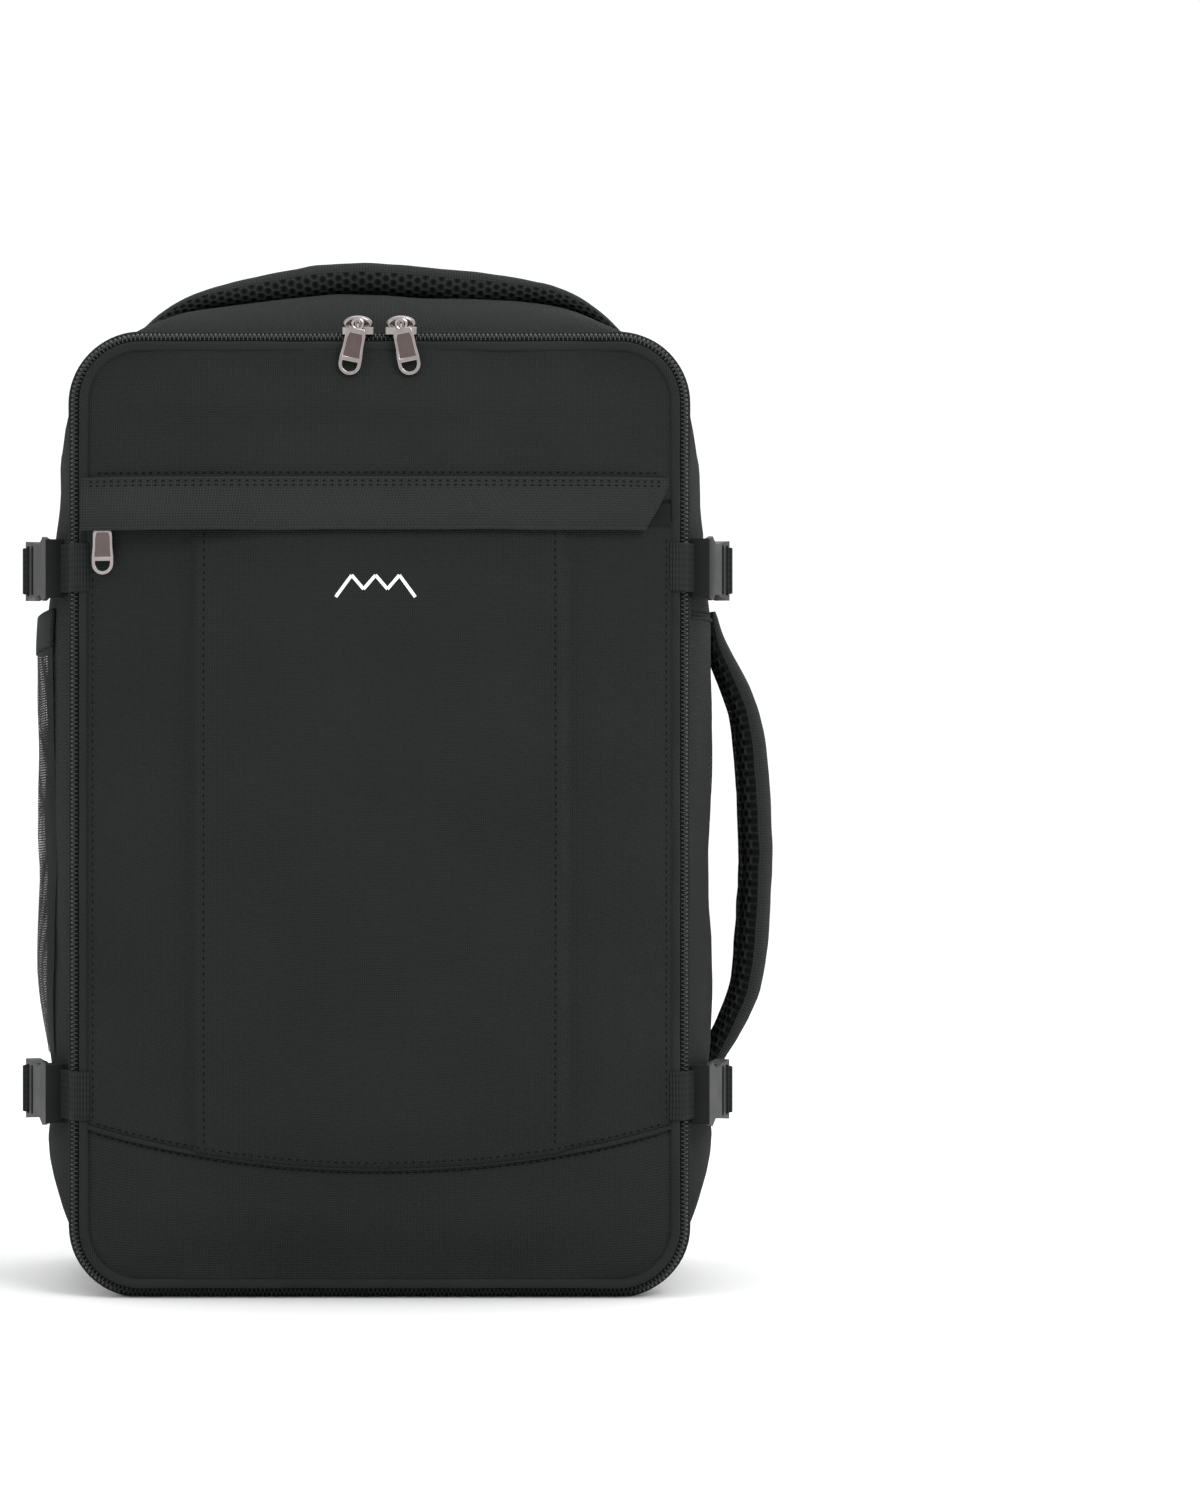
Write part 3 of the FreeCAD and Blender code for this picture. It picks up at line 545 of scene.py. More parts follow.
def stitches(name, line, normals, body, long=2.6, skip=1.3, material=thread):
    """A row of sunk sewing stitches along a line on a surface."""
    lengths = run_lengths(line)
    points, faces = [], []
    at, k = skip, 0
    while at + long < lengths[-1]:
        spots = []
        for share in (0.0, 0.5, 1.0):
            goal = at + long * share
            while k < len(lengths) - 2 and lengths[k + 1] < goal:
                k += 1
            part = (goal - lengths[k]) / max(1e-6, lengths[k + 1] - lengths[k])
            spots.append((line[k].lerp(line[k + 1], part), normals[k]))
        (start, up0), (middle, up), (end, up1) = spots
        ahead = (end - start).normalized()
        side = ahead.cross(up).normalized() * 0.45
        first = len(points)
        points += [start - up0 * 0.25, middle + side, middle + up * 0.5, middle - side, end - up1 * 0.25]
        for a, b, c in ((0, 1, 2), (0, 2, 3), (4, 2, 1), (4, 3, 2)):
            faces.append((first + a, first + b, first + c))
        at += long + skip
    obj = new_mesh(name, points, faces, None, [material])
    return finish_piece(obj, name, body)


# ---------------------------------------------------------------- sizes from the frame

HALF = high("lid_zip_tape", 0)
RIM_LOW = low("lid_zip_tape", 2)
RIM_HIGH = high("lid_zip_tape", 2)
CORNER = 34.0  # the rim's corner radius
BODY_FRONT = high("body_zip_tape", 1)
BODY_BACK = low("laptop_gusset", 1)
CREST = high("top_panel", 2)
BACK_FACE = low("back_pads", 1)
LEVELS = {name: mid("male_buckle_right_" + name, 2) for name in ("upper", "lower")}
FLAP_LOW = low("lid_flap", 2)
FLAP_HIGH = high("lid_flap", 2)
HINGE_LOW, HINGE_HIGH = low("hinge_strip", 2), high("hinge_strip", 2)
WEB = 25.0  # webbing width
UP = Vector((0, 0, 1))
OUT_FRONT, OUT_BACK, OUT_RIGHT = Vector((0, -1, 0)), Vector((0, 1, 0)), Vector((1, 0, 0))

COUNTS = {"bottom": 14, "low_arc": 14, "side": 46, "high_arc": 18, "top": 44}


def outline(half, bottom, top, low_radius, high_radius):
    """Points and outward normals round a rounded rectangle, from the middle of its base towards +X."""
    found = []

    def straight(x0, z0, x1, z1, count, normal):
        for k in range(count):
            t = k / count
            found.append((x0 + (x1 - x0) * t, z0 + (z1 - z0) * t, *normal))

    def arc(x, z, radius, start, count):
        for k in range(count):
            turn = math.radians(start + 90 * k / count)
            c, s = math.cos(turn), math.sin(turn)
            found.append((x + radius * c, z + radius * s, c, s))

    r0, r1 = low_radius, high_radius
    straight(0, bottom, half - r0, bottom, COUNTS["bottom"], (0, -1))
    arc(half - r0, bottom + r0, r0, -90, COUNTS["low_arc"])
    straight(half, bottom + r0, half, top - r1, COUNTS["side"], (1, 0))
    arc(half - r1, top - r1, r1, 0, COUNTS["high_arc"])
    straight(half - r1, top, -half + r1, top, COUNTS["top"], (0, 1))
    arc(-half + r1, top - r1, r1, 90, COUNTS["high_arc"])
    straight(-half, top - r1, -half, bottom + r0, COUNTS["side"], (-1, 0))
    arc(-half + r0, bottom + r0, r0, 180, COUNTS["low_arc"])
    straight(-half + r0, bottom, 0, bottom, COUNTS["bottom"], (0, -1))
    return found


LOW_ARC = COUNTS["bottom"]
SIDE_START = LOW_ARC + COUNTS["low_arc"]
HIGH_ARC = SIDE_START + COUNTS["side"]
TOP_START = HIGH_ARC + COUNTS["high_arc"]
TOP_END = TOP_START + COUNTS["top"]
TURN_END = TOP_END + COUNTS["high_arc"]
AROUND = 2 * (COUNTS["bottom"] + COUNTS["low_arc"] + COUNTS["side"] + COUNTS["high_arc"]) + COUNTS["top"]
SEAM_RIGHT = HIGH_ARC + COUNTS["high_arc"] // 2
SEAM_LEFT = TOP_END + COUNTS["high_arc"] // 2


def rim_frames(offset, depth, lean=0.0):
    """Frames round the rim at an offset from its outline: side points outward, up to the front."""
    frames = []
    for x, z, nx, nz in outline(HALF + offset, RIM_LOW - offset, RIM_HIGH + offset, CORNER + offset,
                                CORNER + offset):
        outward = Vector((nx, 0, nz))
        side = (outward * math.cos(lean) - OUT_FRONT * math.sin(lean)).normalized()
        up = (OUT_FRONT * math.cos(lean) + outward * math.sin(lean)).normalized()
        frames.append((Vector((x, depth, z)), side, up))
    return frames


# ---------------------------------------------------------------- body shell

BULGE = 20.0  # how far the sides swell beyond the rim
DOME = 16.0  # how far the top falls from its crest to its sides
TAPER = 5.5  # how far the sides draw in above the upper straps
LOW_ROUND, HIGH_ROUND = 50.0, 52.0  # how much rounder the corners are in the middle of the body


def fullness(depth):
    """How far the cloth has swelled from the rim towards the middle of the body."""
    middle = (BODY_FRONT + BODY_BACK) / 2
    t = abs(depth - middle) / ((BODY_BACK - BODY_FRONT) / 2)
    return max(0.0, 1 - t ** 2.4) ** 0.75


def crumple(point, size, amount):
    return noise.noise(point / size) * amount


def body_ring(depth, inset=0.0):
    """The body's skin at one depth, as points and normals in the frame."""
    full = fullness(depth)
    ring = []
    for x, z, nx, nz in outline(HALF - 1 + BULGE * full - inset, 2.5 * (1 - full) ** 2 + inset,
                                RIM_HIGH - 1 + (CREST + 5 - RIM_HIGH) * full - inset,
                                CORNER - 1 + LOW_ROUND * full - inset,
                                CORNER - 1 + HIGH_ROUND * full - inset):
        point = Vector((x, depth, z))
        normal = Vector((nx, 0, nz))
        side_share = eased((z - 25) / 60) * full
        strap_dip = sum(math.exp(-((z - level) / 15) ** 2) for level in LEVELS.values()) * abs(nx)
        push = crumple(point, 60, 2.2) + crumple(point, 22, 0.7)
        point += normal * (side_share * (push - 3.5 * strap_dip))
        point.x -= math.copysign(TAPER * full * (x / HALF) ** 2 * eased((z - LEVELS["upper"] + 8) / 50), x)
        point.z -= DOME * full * (abs(x) / HALF) ** 2 * eased((z - CREST + 150) / 120)
        ring.append((point, normal))
    return ring


DEPTHS = [BODY_FRONT + (BODY_BACK - BODY_FRONT) * (0.5 - 0.5 * math.cos(math.pi * k / 44))
          for k in range(45)]  # closer together towards the rims
RINGS = [body_ring(depth) for depth in DEPTHS]


def body_cols(first, last):
    """Rows of the skin between two places round the outline."""
    return [[ring[k % AROUND][0] for k in range(first, last + 1)] for ring in RINGS]


def side_point(depth, z, side=1, lift=0.0):
    """A place on a side of the body, and its normal."""
    def surface(d, level):
        ring = body_ring(d)
        columns = range(LOW_ARC, TOP_START) if side > 0 else range(TOP_END, BASE_LEFT)
        places = sorted((abs(ring[k][0].z - level), k) for k in columns)
        k = places[0][1]
        other = k + 1 if (ring[k][0].z < level) == (side > 0) else k - 1
        a, b = ring[k][0], ring[other % AROUND][0]
        t = 0 if abs(b.z - a.z) < 1e-6 else (level - a.z) / (b.z - a.z)
        return a.lerp(b, max(-0.5, min(1.5, t)))
    here = surface(depth, z)
    back = surface(min(depth + 2, BODY_BACK), z) - surface(max(depth - 2, BODY_FRONT), z)
    up = surface(depth, z + 3) - surface(depth, z - 3)
    normal = back.cross(up).normalized() * (1 if side > 0 else -1)
    if normal.x * side < 0:
        normal = -normal
    return here + normal * lift, normal


BASE_LEFT = AROUND - COUNTS["bottom"]
for name, first, last, cloth, node in (("side_skin_right", LOW_ARC, SEAM_RIGHT, oxford, "side_panel_right"),
                                       ("top_skin", SEAM_RIGHT, SEAM_LEFT, rib_top, "top_panel"),
                                       ("side_skin_left", SEAM_LEFT, BASE_LEFT, oxford, "side_panel_left"),
                                       ("base_skin", BASE_LEFT, AROUND + LOW_ARC, oxford, "base_panel")):
    sheet_piece(name, body_cols(first, last), "root", [cloth], 2.2, [node], flip=True)


def side_run(z, start, stop, side=1, lift=0.9, steps=16):
    """A level line over a side of the body, with its normals."""
    spots = [side_point(start + (stop - start) * k / steps, z, side, lift) for k in range(steps + 1)]
    return [p for p, n in spots], [n for p, n in spots]


def tube(name, line, radius, body, material, closed=False, squash=1.0, side=None):
    """A round cord of cloth, such as a welt, along a line."""
    frames = []
    total = len(line)
    for k, centre in enumerate(line):
        ahead = line[(k + 1) % total if closed else min(k + 1, total - 1)]
        behind = line[(k - 1) % total if closed else max(k - 1, 0)]
        run = (ahead - behind).normalized()
        guide = side or (UP if abs(run.z) < 0.8 else Vector((0, 1, 0)))
        across = run.cross(guide).normalized()
        frames.append((centre, across, run.cross(across).normalized()))
    return sweep(name, frames, ellipse(radius, radius * squash), body, material, closed)


# seams of the body: welts where the top, sides and base meet, and the back edge
for name, column, lift, radius in (("top_welt_right", SEAM_RIGHT, 0.4, 1.5), ("top_welt_left", SEAM_LEFT, 0.4, 1.5),
                                   ("base_welt_right", LOW_ARC, 0.3, 1.4), ("base_welt_left", BASE_LEFT, 0.3, 1.4)):
    tube(name, [ring[column][0] + ring[column][1] * lift for ring in RINGS[2:-2]], radius, "root",
         binding)

# ---------------------------------------------------------------- rim: tapes, bindings, zip teeth

def flat_profile(width, thick):
    x, y = width / 2, thick / 2
    return [(x, -y), (x, y), (-x, y), (-x, -y)]


def rim_wobble(amount):
    """Small unevenness in and out along a sewn edge."""
    return lambda along, side: side * (noise.noise(Vector((along / 26, 0, 5))) * amount)


def rim_band(name, offset, depth, profile, body, material, replaced=(), wobble=0.0):
    return sweep(name, rim_frames(offset, depth), profile, body, material, True, replaced,
                 relief=rim_wobble(wobble) if wobble else None)


def zip_teeth(name, frames, body, out=0.0, ahead=0.0, phase=0.5, pitch=2.2, long=3.2, fat=0.8):
    """A coil's turns along closed frames: small rounded bars side by side."""
    line = [f[0] for f in frames]
    lengths = run_lengths(line + line[:1])
    points, faces = [], []
    count = int(lengths[-1] / pitch)
    k = 0
    for number in range(count):
        goal = (number + phase) * lengths[-1] / count
        while lengths[k + 1] < goal:
            k += 1
        t = (goal - lengths[k]) / (lengths[k + 1] - lengths[k])
        (c0, s0, u0), (c1, s1, u1) = frames[k], frames[(k + 1) % len(frames)]
        side, up = s0.lerp(s1, t).normalized(), u0.lerp(u1, t).normalized()
        along = side.cross(up).normalized()
        centre = c0.lerp(c1, t) + side * out + up * ahead
        first = len(points)
        for share, size in ((-0.5, 0.55), (-0.3, 1.0), (0.3, 1.0), (0.5, 0.55)):
            ring_centre = centre + up * (share * long)
            for a, b in ((1, 0), (0, 1), (-1, 0), (0, -1)):
                points.append(ring_centre + side * (a * fat * 1.3 * size) + along * (b * fat * size))
        for level in range(3):
            for j in range(4):
                a, b = first + level * 4 + j, first + level * 4 + (j + 1) % 4
                faces.append((a, b, b + 4, a + 4))
        faces.append((first + 3, first + 2, first + 1, first))
        faces.append((first + 12, first + 13, first + 14, first + 15))
    return finish_piece(new_mesh(name, points, faces, None, [coil]), name, body)


LID_EDGE = high("lid_zip_tape", 1)
LEAN = -0.9  # the closed zip's face looks outward and a little forward
CHAIN_OFFSET, CHAIN_DEPTH = -1.4, LID_EDGE - 1.0
sweep("lid_tape", rim_frames(CHAIN_OFFSET - 2.0, CHAIN_DEPTH - 1.8, LEAN), flat_profile(0.9, 5.2), "lid",
      tape, True, ["lid_zip_tape"])
sweep("body_tape", rim_frames(CHAIN_OFFSET + 0.9, CHAIN_DEPTH + 3.4, -0.5), flat_profile(0.9, 6.6), "root",
      tape, True, ["body_zip_tape"])
rim_band("lid_binding", -5.9, low("lid_piping", 1) + 2.4, ellipse(2.6, 2.3, 14, 0.7), "lid",
         binding, ["lid_piping"], 0.35)
rim_band("lining_binding", -5.6, BODY_FRONT - 0.6, ellipse(2.4, 2.0), "root", grey_tape)
rim_band("lid_lining_binding", -9.0, high("lid_lining", 1) + 0.9, ellipse(3.2, 1.5), "lid",
         grey_tape)
rim_band("body_binding", 1.0, BODY_FRONT - 1.4, ellipse(2.0, 2.2, 12, 0.8), "root", binding,
         (), 0.35)
zip_teeth("lid_coil", rim_frames(CHAIN_OFFSET, CHAIN_DEPTH, LEAN), "lid", out=0.9, ahead=0.9)
zip_teeth("body_coil", rim_frames(CHAIN_OFFSET, CHAIN_DEPTH, LEAN), "root", out=0.9, ahead=-0.9, phase=0.0)

# ---------------------------------------------------------------- lid front

FACE_HALF, FACE_LOW, FACE_HIGH, FACE_CORNER = HALF - 7.2, RIM_LOW + 7.2, RIM_HIGH - 7.2, 27.0
EDGE_DEPTH = low("lid_piping", 1) + 1.8
PLEAT = 94.0  # half the width of the middle panel
SEAM_AT_EDGE = high("lid_lower_panel", 2)
# how proud the lid's middle stands at each height
CROWN = [(FACE_LOW, 0.0), (50, 13), (92, 21), (160, 25.5), (250, 27.5), (330, 25.5), (380, 20), (415, 15.5),
         (450, 9.5), (FACE_HIGH, 0.5)]


def face_reach(z):
    """Half the lid's width at a height, narrowing round its corners."""
    over = max(FACE_LOW + FACE_CORNER - z, z - (FACE_HIGH - FACE_CORNER), 0)
    over = min(over, FACE_CORNER)
    return FACE_HALF - FACE_CORNER + math.sqrt(FACE_CORNER ** 2 - over ** 2)


def lower_seam(x):
    return SEAM_AT_EDGE - 20 * (1 - (x / FACE_HALF) ** 2)


def lid_depth(x, z, proud=0.0):
    """Where the lid's face lies: crowned, with pleats and soft wrinkles."""
    edge = min(1.0, abs(x) / face_reach(z))
    across = max(0.0, 1 - edge ** 3.2) ** 0.9
    crown = level_curve(CROWN, z) * across
    soft = noise.noise(Vector((x / 46, z / 70, 2))) * 1.5 + noise.noise(Vector((x / 15, z / 24, 8))) * 0.45
    fade = min(1.0, across * 2.5)
    pulled = sum(math.exp(-((z - level) / 14) ** 2) for level in LEVELS.values())
    return EDGE_DEPTH - crown - proud - soft * fade + 1.5 * pulled * eased((abs(x) - 60) / 70) * fade


def pleat_height(x, z):
    """The middle panel of the front pocket stands proud between its two pleats."""
    inside = 1 - eased((abs(x) - (PLEAT - 2.5)) / 4.5)
    fold = math.exp(-((abs(x) - PLEAT + 4) / 5) ** 2) * 1.5
    start = eased((z - lower_seam(x)) / 26)
    tucked = 1 - 0.65 * eased((z - FLAP_LOW + 34) / 34)
    return (inside * 5.5 + fold) * (0.35 + 0.65 * start) * tucked


def lid_rows(z_low, z_high, rows, depth, bend_low=None, bend_high=None):
    """A grid over the lid's face between two levels, which may be curves across it."""
    shares = [k / 60 for k in range(-60, 61)]
    made = []
    for r in range(rows + 1):
        t = r / rows
        row = []
        for share in shares:
            reach = face_reach(z_low + (z_high - z_low) * t)
            x = pleat_share(share, reach) if reach > PLEAT + 14 else share * reach
            start = bend_low(x) if bend_low else z_low
            stop = bend_high(x) if bend_high else z_high
            z = start + (stop - start) * t
            reach_here = face_reach(z)
            x = max(-reach_here, min(reach_here, x))
            row.append(Vector((x, depth(x, z), z)))
        made.append(row)
    return made


def pleat_share(share, reach):
    """Columns crowd together at the pleats: 36 to 48 of 60 lie within 8 mm of each."""
    a = abs(share) * 60
    if a <= 36:
        x = a / 36 * (PLEAT - 7)
    elif a <= 48:
        x = PLEAT - 7 + (a - 36) / 12 * 14
    else:
        x = PLEAT + 7 + (a - 48) / 12 * (reach - PLEAT - 7)
    return math.copysign(x, share)


def pocket_depth(x, z):
    near_seam = 1 - eased((z - lower_seam(x)) / 5)
    return lid_depth(x, z, pleat_height(x, z) + 1.6 - 1.0 * near_seam)


def under_depth(x, z):
    return lid_depth(x, z, 0.2 - 1.6 * eased((z - lower_seam(x) + 6) / 6))


sheet_piece("pocket_face", lid_rows(SEAM_AT_EDGE, FLAP_LOW + 4, 130, pocket_depth, lower_seam), "lid",
            [oxford], 1.6, ["front_pocket"])
sheet_piece("lower_face", lid_rows(FACE_LOW, SEAM_AT_EDGE + 2, 44, under_depth, None,
            lambda x: lower_seam(x) + 2), "lid", [oxford], 1.6, ["lid_lower_panel"])
sheet_piece("upper_face", lid_rows(FLAP_HIGH - 9, FACE_HIGH, 40, lambda x, z: lid_depth(x, z, 0.6)), "lid",
            [oxford], 1.6, ["lid_upper_panel"])

FLAP_LEFT, FLAP_RIGHT = -HALF + 4, HALF - 8
SLIDER_X = mid("pocket_zip_slider", 0)


def flap_depth(x, z):
    """The flap lies over the pocket zip and curls in at its lower edge."""
    down = (FLAP_HIGH - z) / (FLAP_HIGH - FLAP_LOW)
    lift = 3.0 + 5.0 * eased(down * 1.25) + noise.noise(Vector((x / 22, 3, 1))) * 0.6
    lift += 5.4 * (1 - eased((x - SLIDER_X - 44) / 44)) * (0.4 + 0.6 * eased(down * 1.6))
    reach = min(1.0, abs(x) / (FACE_HALF + 2))
    wrap = 3.2 * reach ** 14
    return lid_depth(max(-FACE_HALF + 1, min(FACE_HALF - 1, x)), z, lift) + wrap


def flap_rows():
    rows = []
    for r in range(21):
        down = r / 20
        z = FLAP_LOW + (FLAP_HIGH + 2.5 - FLAP_LOW) * down
        right = FLAP_RIGHT - 13 * (1 - min(1, down * 1.1)) ** 1.2
        row = []
        for c in range(111):
            x = FLAP_LEFT + (right - FLAP_LEFT) * c / 110
            level = z + noise.noise(Vector((x / 35, 7, 7))) * 0.5 * (1 - down)
            row.append(Vector((x, flap_depth(x, min(level, FLAP_HIGH)), level)))
        rows.append(row)
    return rows


FLAP_ROWS = flap_rows()
sheet_piece("zip_flap", FLAP_ROWS, "lid", [coarse], 2.0, ["lid_flap"])
tube("flap_fold", [place + Vector((0, 0.9, 0)) for place in FLAP_ROWS[0]], 1.25, "lid",
     coarse, squash=0.9)


def face_normal(depth, x, z):
    dx = (depth(x + 1.5, z) - depth(x - 1.5, z)) / 3
    dz = (depth(x, z + 1.5) - depth(x, z - 1.5)) / 3
    return Vector((dx, -1, dz)).normalized()


def face_stitches(name, places, depth):
    """Stitches on the lid's face through places across and up it."""
    line = [Vector((x, depth(x, z), z)) for x, z in places]
    normals = [face_normal(depth, x, z) for x, z in places]
    return stitches(name, [p + n * 0.15 for p, n in zip(line, normals)], normals, "lid")


def span(start, stop, count):
    return [start + (stop - start) * k / count for k in range(count + 1)]


for lift in (2.4, 4.6):
    face_stitches(f"flap_stitch_{int(lift)}", [(x, FLAP_HIGH + 2.5 - lift) for x in
                  span(FLAP_LEFT + 3, FLAP_RIGHT - 4, 120)], lambda x, z: flap_depth(x, min(z, FLAP_HIGH)))
face_stitches("upper_stitch", [(x, FLAP_HIGH + 4.4) for x in span(-FACE_HALF + 4, FACE_HALF - 4, 120)],
              lambda x, z: lid_depth(x, z, 0.6))
face_stitches("lower_stitch", [(x, lower_seam(x) - 3.0) for x in span(-FACE_HALF + 4, FACE_HALF - 4, 120)],
              under_depth)
face_stitches("pocket_stitch", [(x, lower_seam(x) + 2.6) for x in span(-FACE_HALF + 4, FACE_HALF - 4, 120)],
              pocket_depth)
for side, word in ((-1, "left"), (1, "right")):
    pleat = [(side * (PLEAT - 5.5), z) for z in span(lower_seam(PLEAT) + 3, FLAP_LOW + 2, 120)]
    edge = [(side * (FACE_HALF - 3.2), z) for z in span(SEAM_AT_EDGE + 2, FLAP_LOW - 2, 120)]
    face_stitches(f"pleat_stitch_{word}", pleat, pocket_depth)
    face_stitches(f"edge_stitch_pocket_{word}", edge, pocket_depth)


# the welt of the curved lower seam, and the panel edge it covers
tube("lower_seam_welt", [Vector((x, lid_depth(x, lower_seam(x), 0.6), lower_seam(x) - 0.4))
                         for x in span(-FACE_HALF, FACE_HALF, 100)], 1.3, "lid", oxford)

# pocket zip under the flap
ZIP_MID = mid("pocket_zip", 2)
pocket_zip_rows = [[Vector((x, lid_depth(x, z, 1.5 + (1.2 if abs(z - ZIP_MID) < 2 else 0)), z))
                    for x in span(-FACE_HALF + 1, FACE_HALF - 1, 60)]
                   for z in span(ZIP_MID - 9, ZIP_MID + 9, 12)]
sheet_piece("pocket_zip_tape", pocket_zip_rows, "lid", [tape], 0.8, ["pocket_zip"])

# a plain zigzag line printed where the pocket carries its mark
MARK_LOW, MARK_HIGH = FLAP_LOW - 35, FLAP_LOW - 24
mark_path = [(-22, MARK_LOW), (-14, MARK_HIGH), (-8, MARK_LOW + 4), (-2, MARK_HIGH), (4, MARK_LOW + 4),
             (10, MARK_HIGH), (18, MARK_LOW)]
mark_points, mark_faces = [], []
for (x0, z0), (x1, z1) in zip(mark_path, mark_path[1:]):
    ahead = Vector((x1 - x0, z1 - z0)).normalized() * 0.9
    for t in span(0, 1, 6):
        for side in (-0.9, 0.9):
            x = x0 + (x1 - x0) * t - ahead.y * side
            z = z0 + (z1 - z0) * t + ahead.x * side
            mark_points.append(Vector((x, pocket_depth(x, z) - 0.12, z)))
    first = len(mark_points) - 14
    for k in range(6):
        mark_faces.append((first + 2 * k, first + 2 * k + 2, first + 2 * k + 3, first + 2 * k + 1))
finish_piece(new_mesh("pocket_mark", mark_points, mark_faces, None, [white_print]), "pocket_mark", "lid")

# ---------------------------------------------------------------- back: board, gusset, pads

def plate_rows(half, bottom, top, radius, depth, rows, columns, curve):
    """A rounded upright panel at a depth, uneven by a curve of x and z."""
    made = []
    for z in span(bottom, top, rows):
        over = min(radius, max(bottom + radius - z, z - (top - radius), 0))
        reach = half - radius + math.sqrt(radius ** 2 - over ** 2)
        made.append([Vector((x, depth + curve(x, z), z)) for x in span(-reach, reach, columns)])
    return made


def back_relief(x, z):
    return noise.noise(Vector((x / 60, z / 60, 4))) * 0.8


GUSSET_FRONT, GUSSET_BACK = low("laptop_gusset", 1), high("laptop_gusset", 1)
gusset_profile = [(-1.5, -(GUSSET_BACK - GUSSET_FRONT) / 2), (0.2, -(GUSSET_BACK - GUSSET_FRONT) / 2)]
gusset_profile += [(0.2 + 1.8 * math.sin(math.pi * k / 8), (k / 8 - 0.5) * (GUSSET_BACK - GUSSET_FRONT))
                   for k in range(1, 8)]
gusset_profile += [(0.2, (GUSSET_BACK - GUSSET_FRONT) / 2), (-1.5, (GUSSET_BACK - GUSSET_FRONT) / 2)]
GUSSET_MID = (GUSSET_FRONT + GUSSET_BACK) / 2
sweep("gusset", rim_frames(-1.6, GUSSET_MID), gusset_profile, "root", oxford, True,
      ["laptop_gusset"], rim_wobble(0.5))
rim_band("gusset_welt_front", -1.0, GUSSET_FRONT + 0.4, ellipse(1.9, 1.7), "root", binding)
rim_band("back_binding", -1.2, high("back_board", 1) - 1.6, ellipse(2.2, 2.6, 12, 0.8), "root",
         binding, (), 0.4)
back_rows = plate_rows(HALF - 2, RIM_LOW + 2, RIM_HIGH - 2, CORNER - 2, high("back_board", 1), 90, 60,
                       back_relief)
sheet_piece("back_panel", back_rows, "root", [oxford], 2.6, ["back_board"], flip=True)


def pad_shape(x, z, half_x, low_z, high_z, depth, channels=()):
    """A pad's height over its outline: a rounded shoulder, then a soft crown crossed by sewn channels."""
    radius = 26
    qx, qz = half_x - abs(x), min(z - low_z, high_z - z)
    corner = math.hypot(max(0, radius - qx), max(0, radius - qz))
    inside = max(0.0, (radius - corner) if min(qx, qz) < radius else radius)
    shoulder = math.sqrt(max(0.0, 1 - (1 - min(1.0, inside / 14)) ** 2))
    sewn = 1.0
    for kind, value in channels:
        away = abs((x if kind == "x" else z) - value)
        sewn *= 1 - 0.62 * math.exp(-(away / 4.2) ** 2)
    return depth * shoulder * sewn * (0.94 + 0.06 * noise.noise(Vector((x / 30, z / 30, depth))))


SOFT = []


def swell_all(frames=12):
    """Blow the padded pieces up as cloth, hold their sewn points, and keep the shape they reach."""
    scene = bpy.context.scene
    for obj, sewn, most in SOFT:
        group = obj.vertex_groups.new(name="sewn")
        group.add(sewn, 1.0, "REPLACE")
        cloth = obj.modifiers.new("cloth", "CLOTH")
        setting = cloth.settings
        setting.quality = 5
        setting.mass = 0.15
        setting.tension_stiffness = setting.compression_stiffness = 18
        setting.shear_stiffness = 8
        setting.bending_stiffness = 1.5
        setting.use_pressure = True
        setting.uniform_pressure_force = 4
        setting.effector_weights.gravity = 0
        setting.vertex_group_mass = "sewn"
        cloth.collision_settings.use_collision = False
        cloth.point_cache.frame_start = 1
        cloth.point_cache.frame_end = frames
    for number in range(1, frames + 1):
        scene.frame_set(number)
    shapes = []
    depsgraph = bpy.context.evaluated_depsgraph_get()
    for obj, sewn, most in SOFT:
        shapes.append([v.co.copy() for v in obj.evaluated_get(depsgraph).data.vertices])
    for (obj, sewn, most), shape in zip(SOFT, shapes):
        obj.modifiers.remove(obj.modifiers["cloth"])
        for vertex, place in zip(obj.data.vertices, shape):
            move = place - vertex.co
            if move.length > most * MM:
                move *= most * MM / move.length
            vertex.co += move
        obj.data.update()
    scene.frame_set(1)


def close_behind(obj, rows, width, depth):
    """Give a pad's face a flat back, so that it is a closed cushion."""
    shell = bmesh.new()
    shell.from_mesh(obj.data)
    shell.verts.ensure_lookup_table()
    rim = [c for c in range(width)] + [r * width + width - 1 for r in range(1, rows)]
    rim += [(rows - 1) * width + c for c in range(width - 2, -1, -1)]
    rim += [r * width for r in range(rows - 2, 0, -1)]
    places = [(shell.verts[k].co.x, depth * MM, shell.verts[k].co.z) for k in rim]
    back = [shell.verts.new(place) for place in places]
    shell.verts.ensure_lookup_table()
    for k in range(len(rim)):
        a, b = rim[k], rim[(k + 1) % len(rim)]
        shell.faces.new((shell.verts[b], shell.verts[a], back[k], back[(k + 1) % len(rim)])).smooth = True
    shell.faces.new(back)
    bmesh.ops.recalc_face_normals(shell, faces=shell.faces)
    shell.to_mesh(obj.data)
    shell.free()


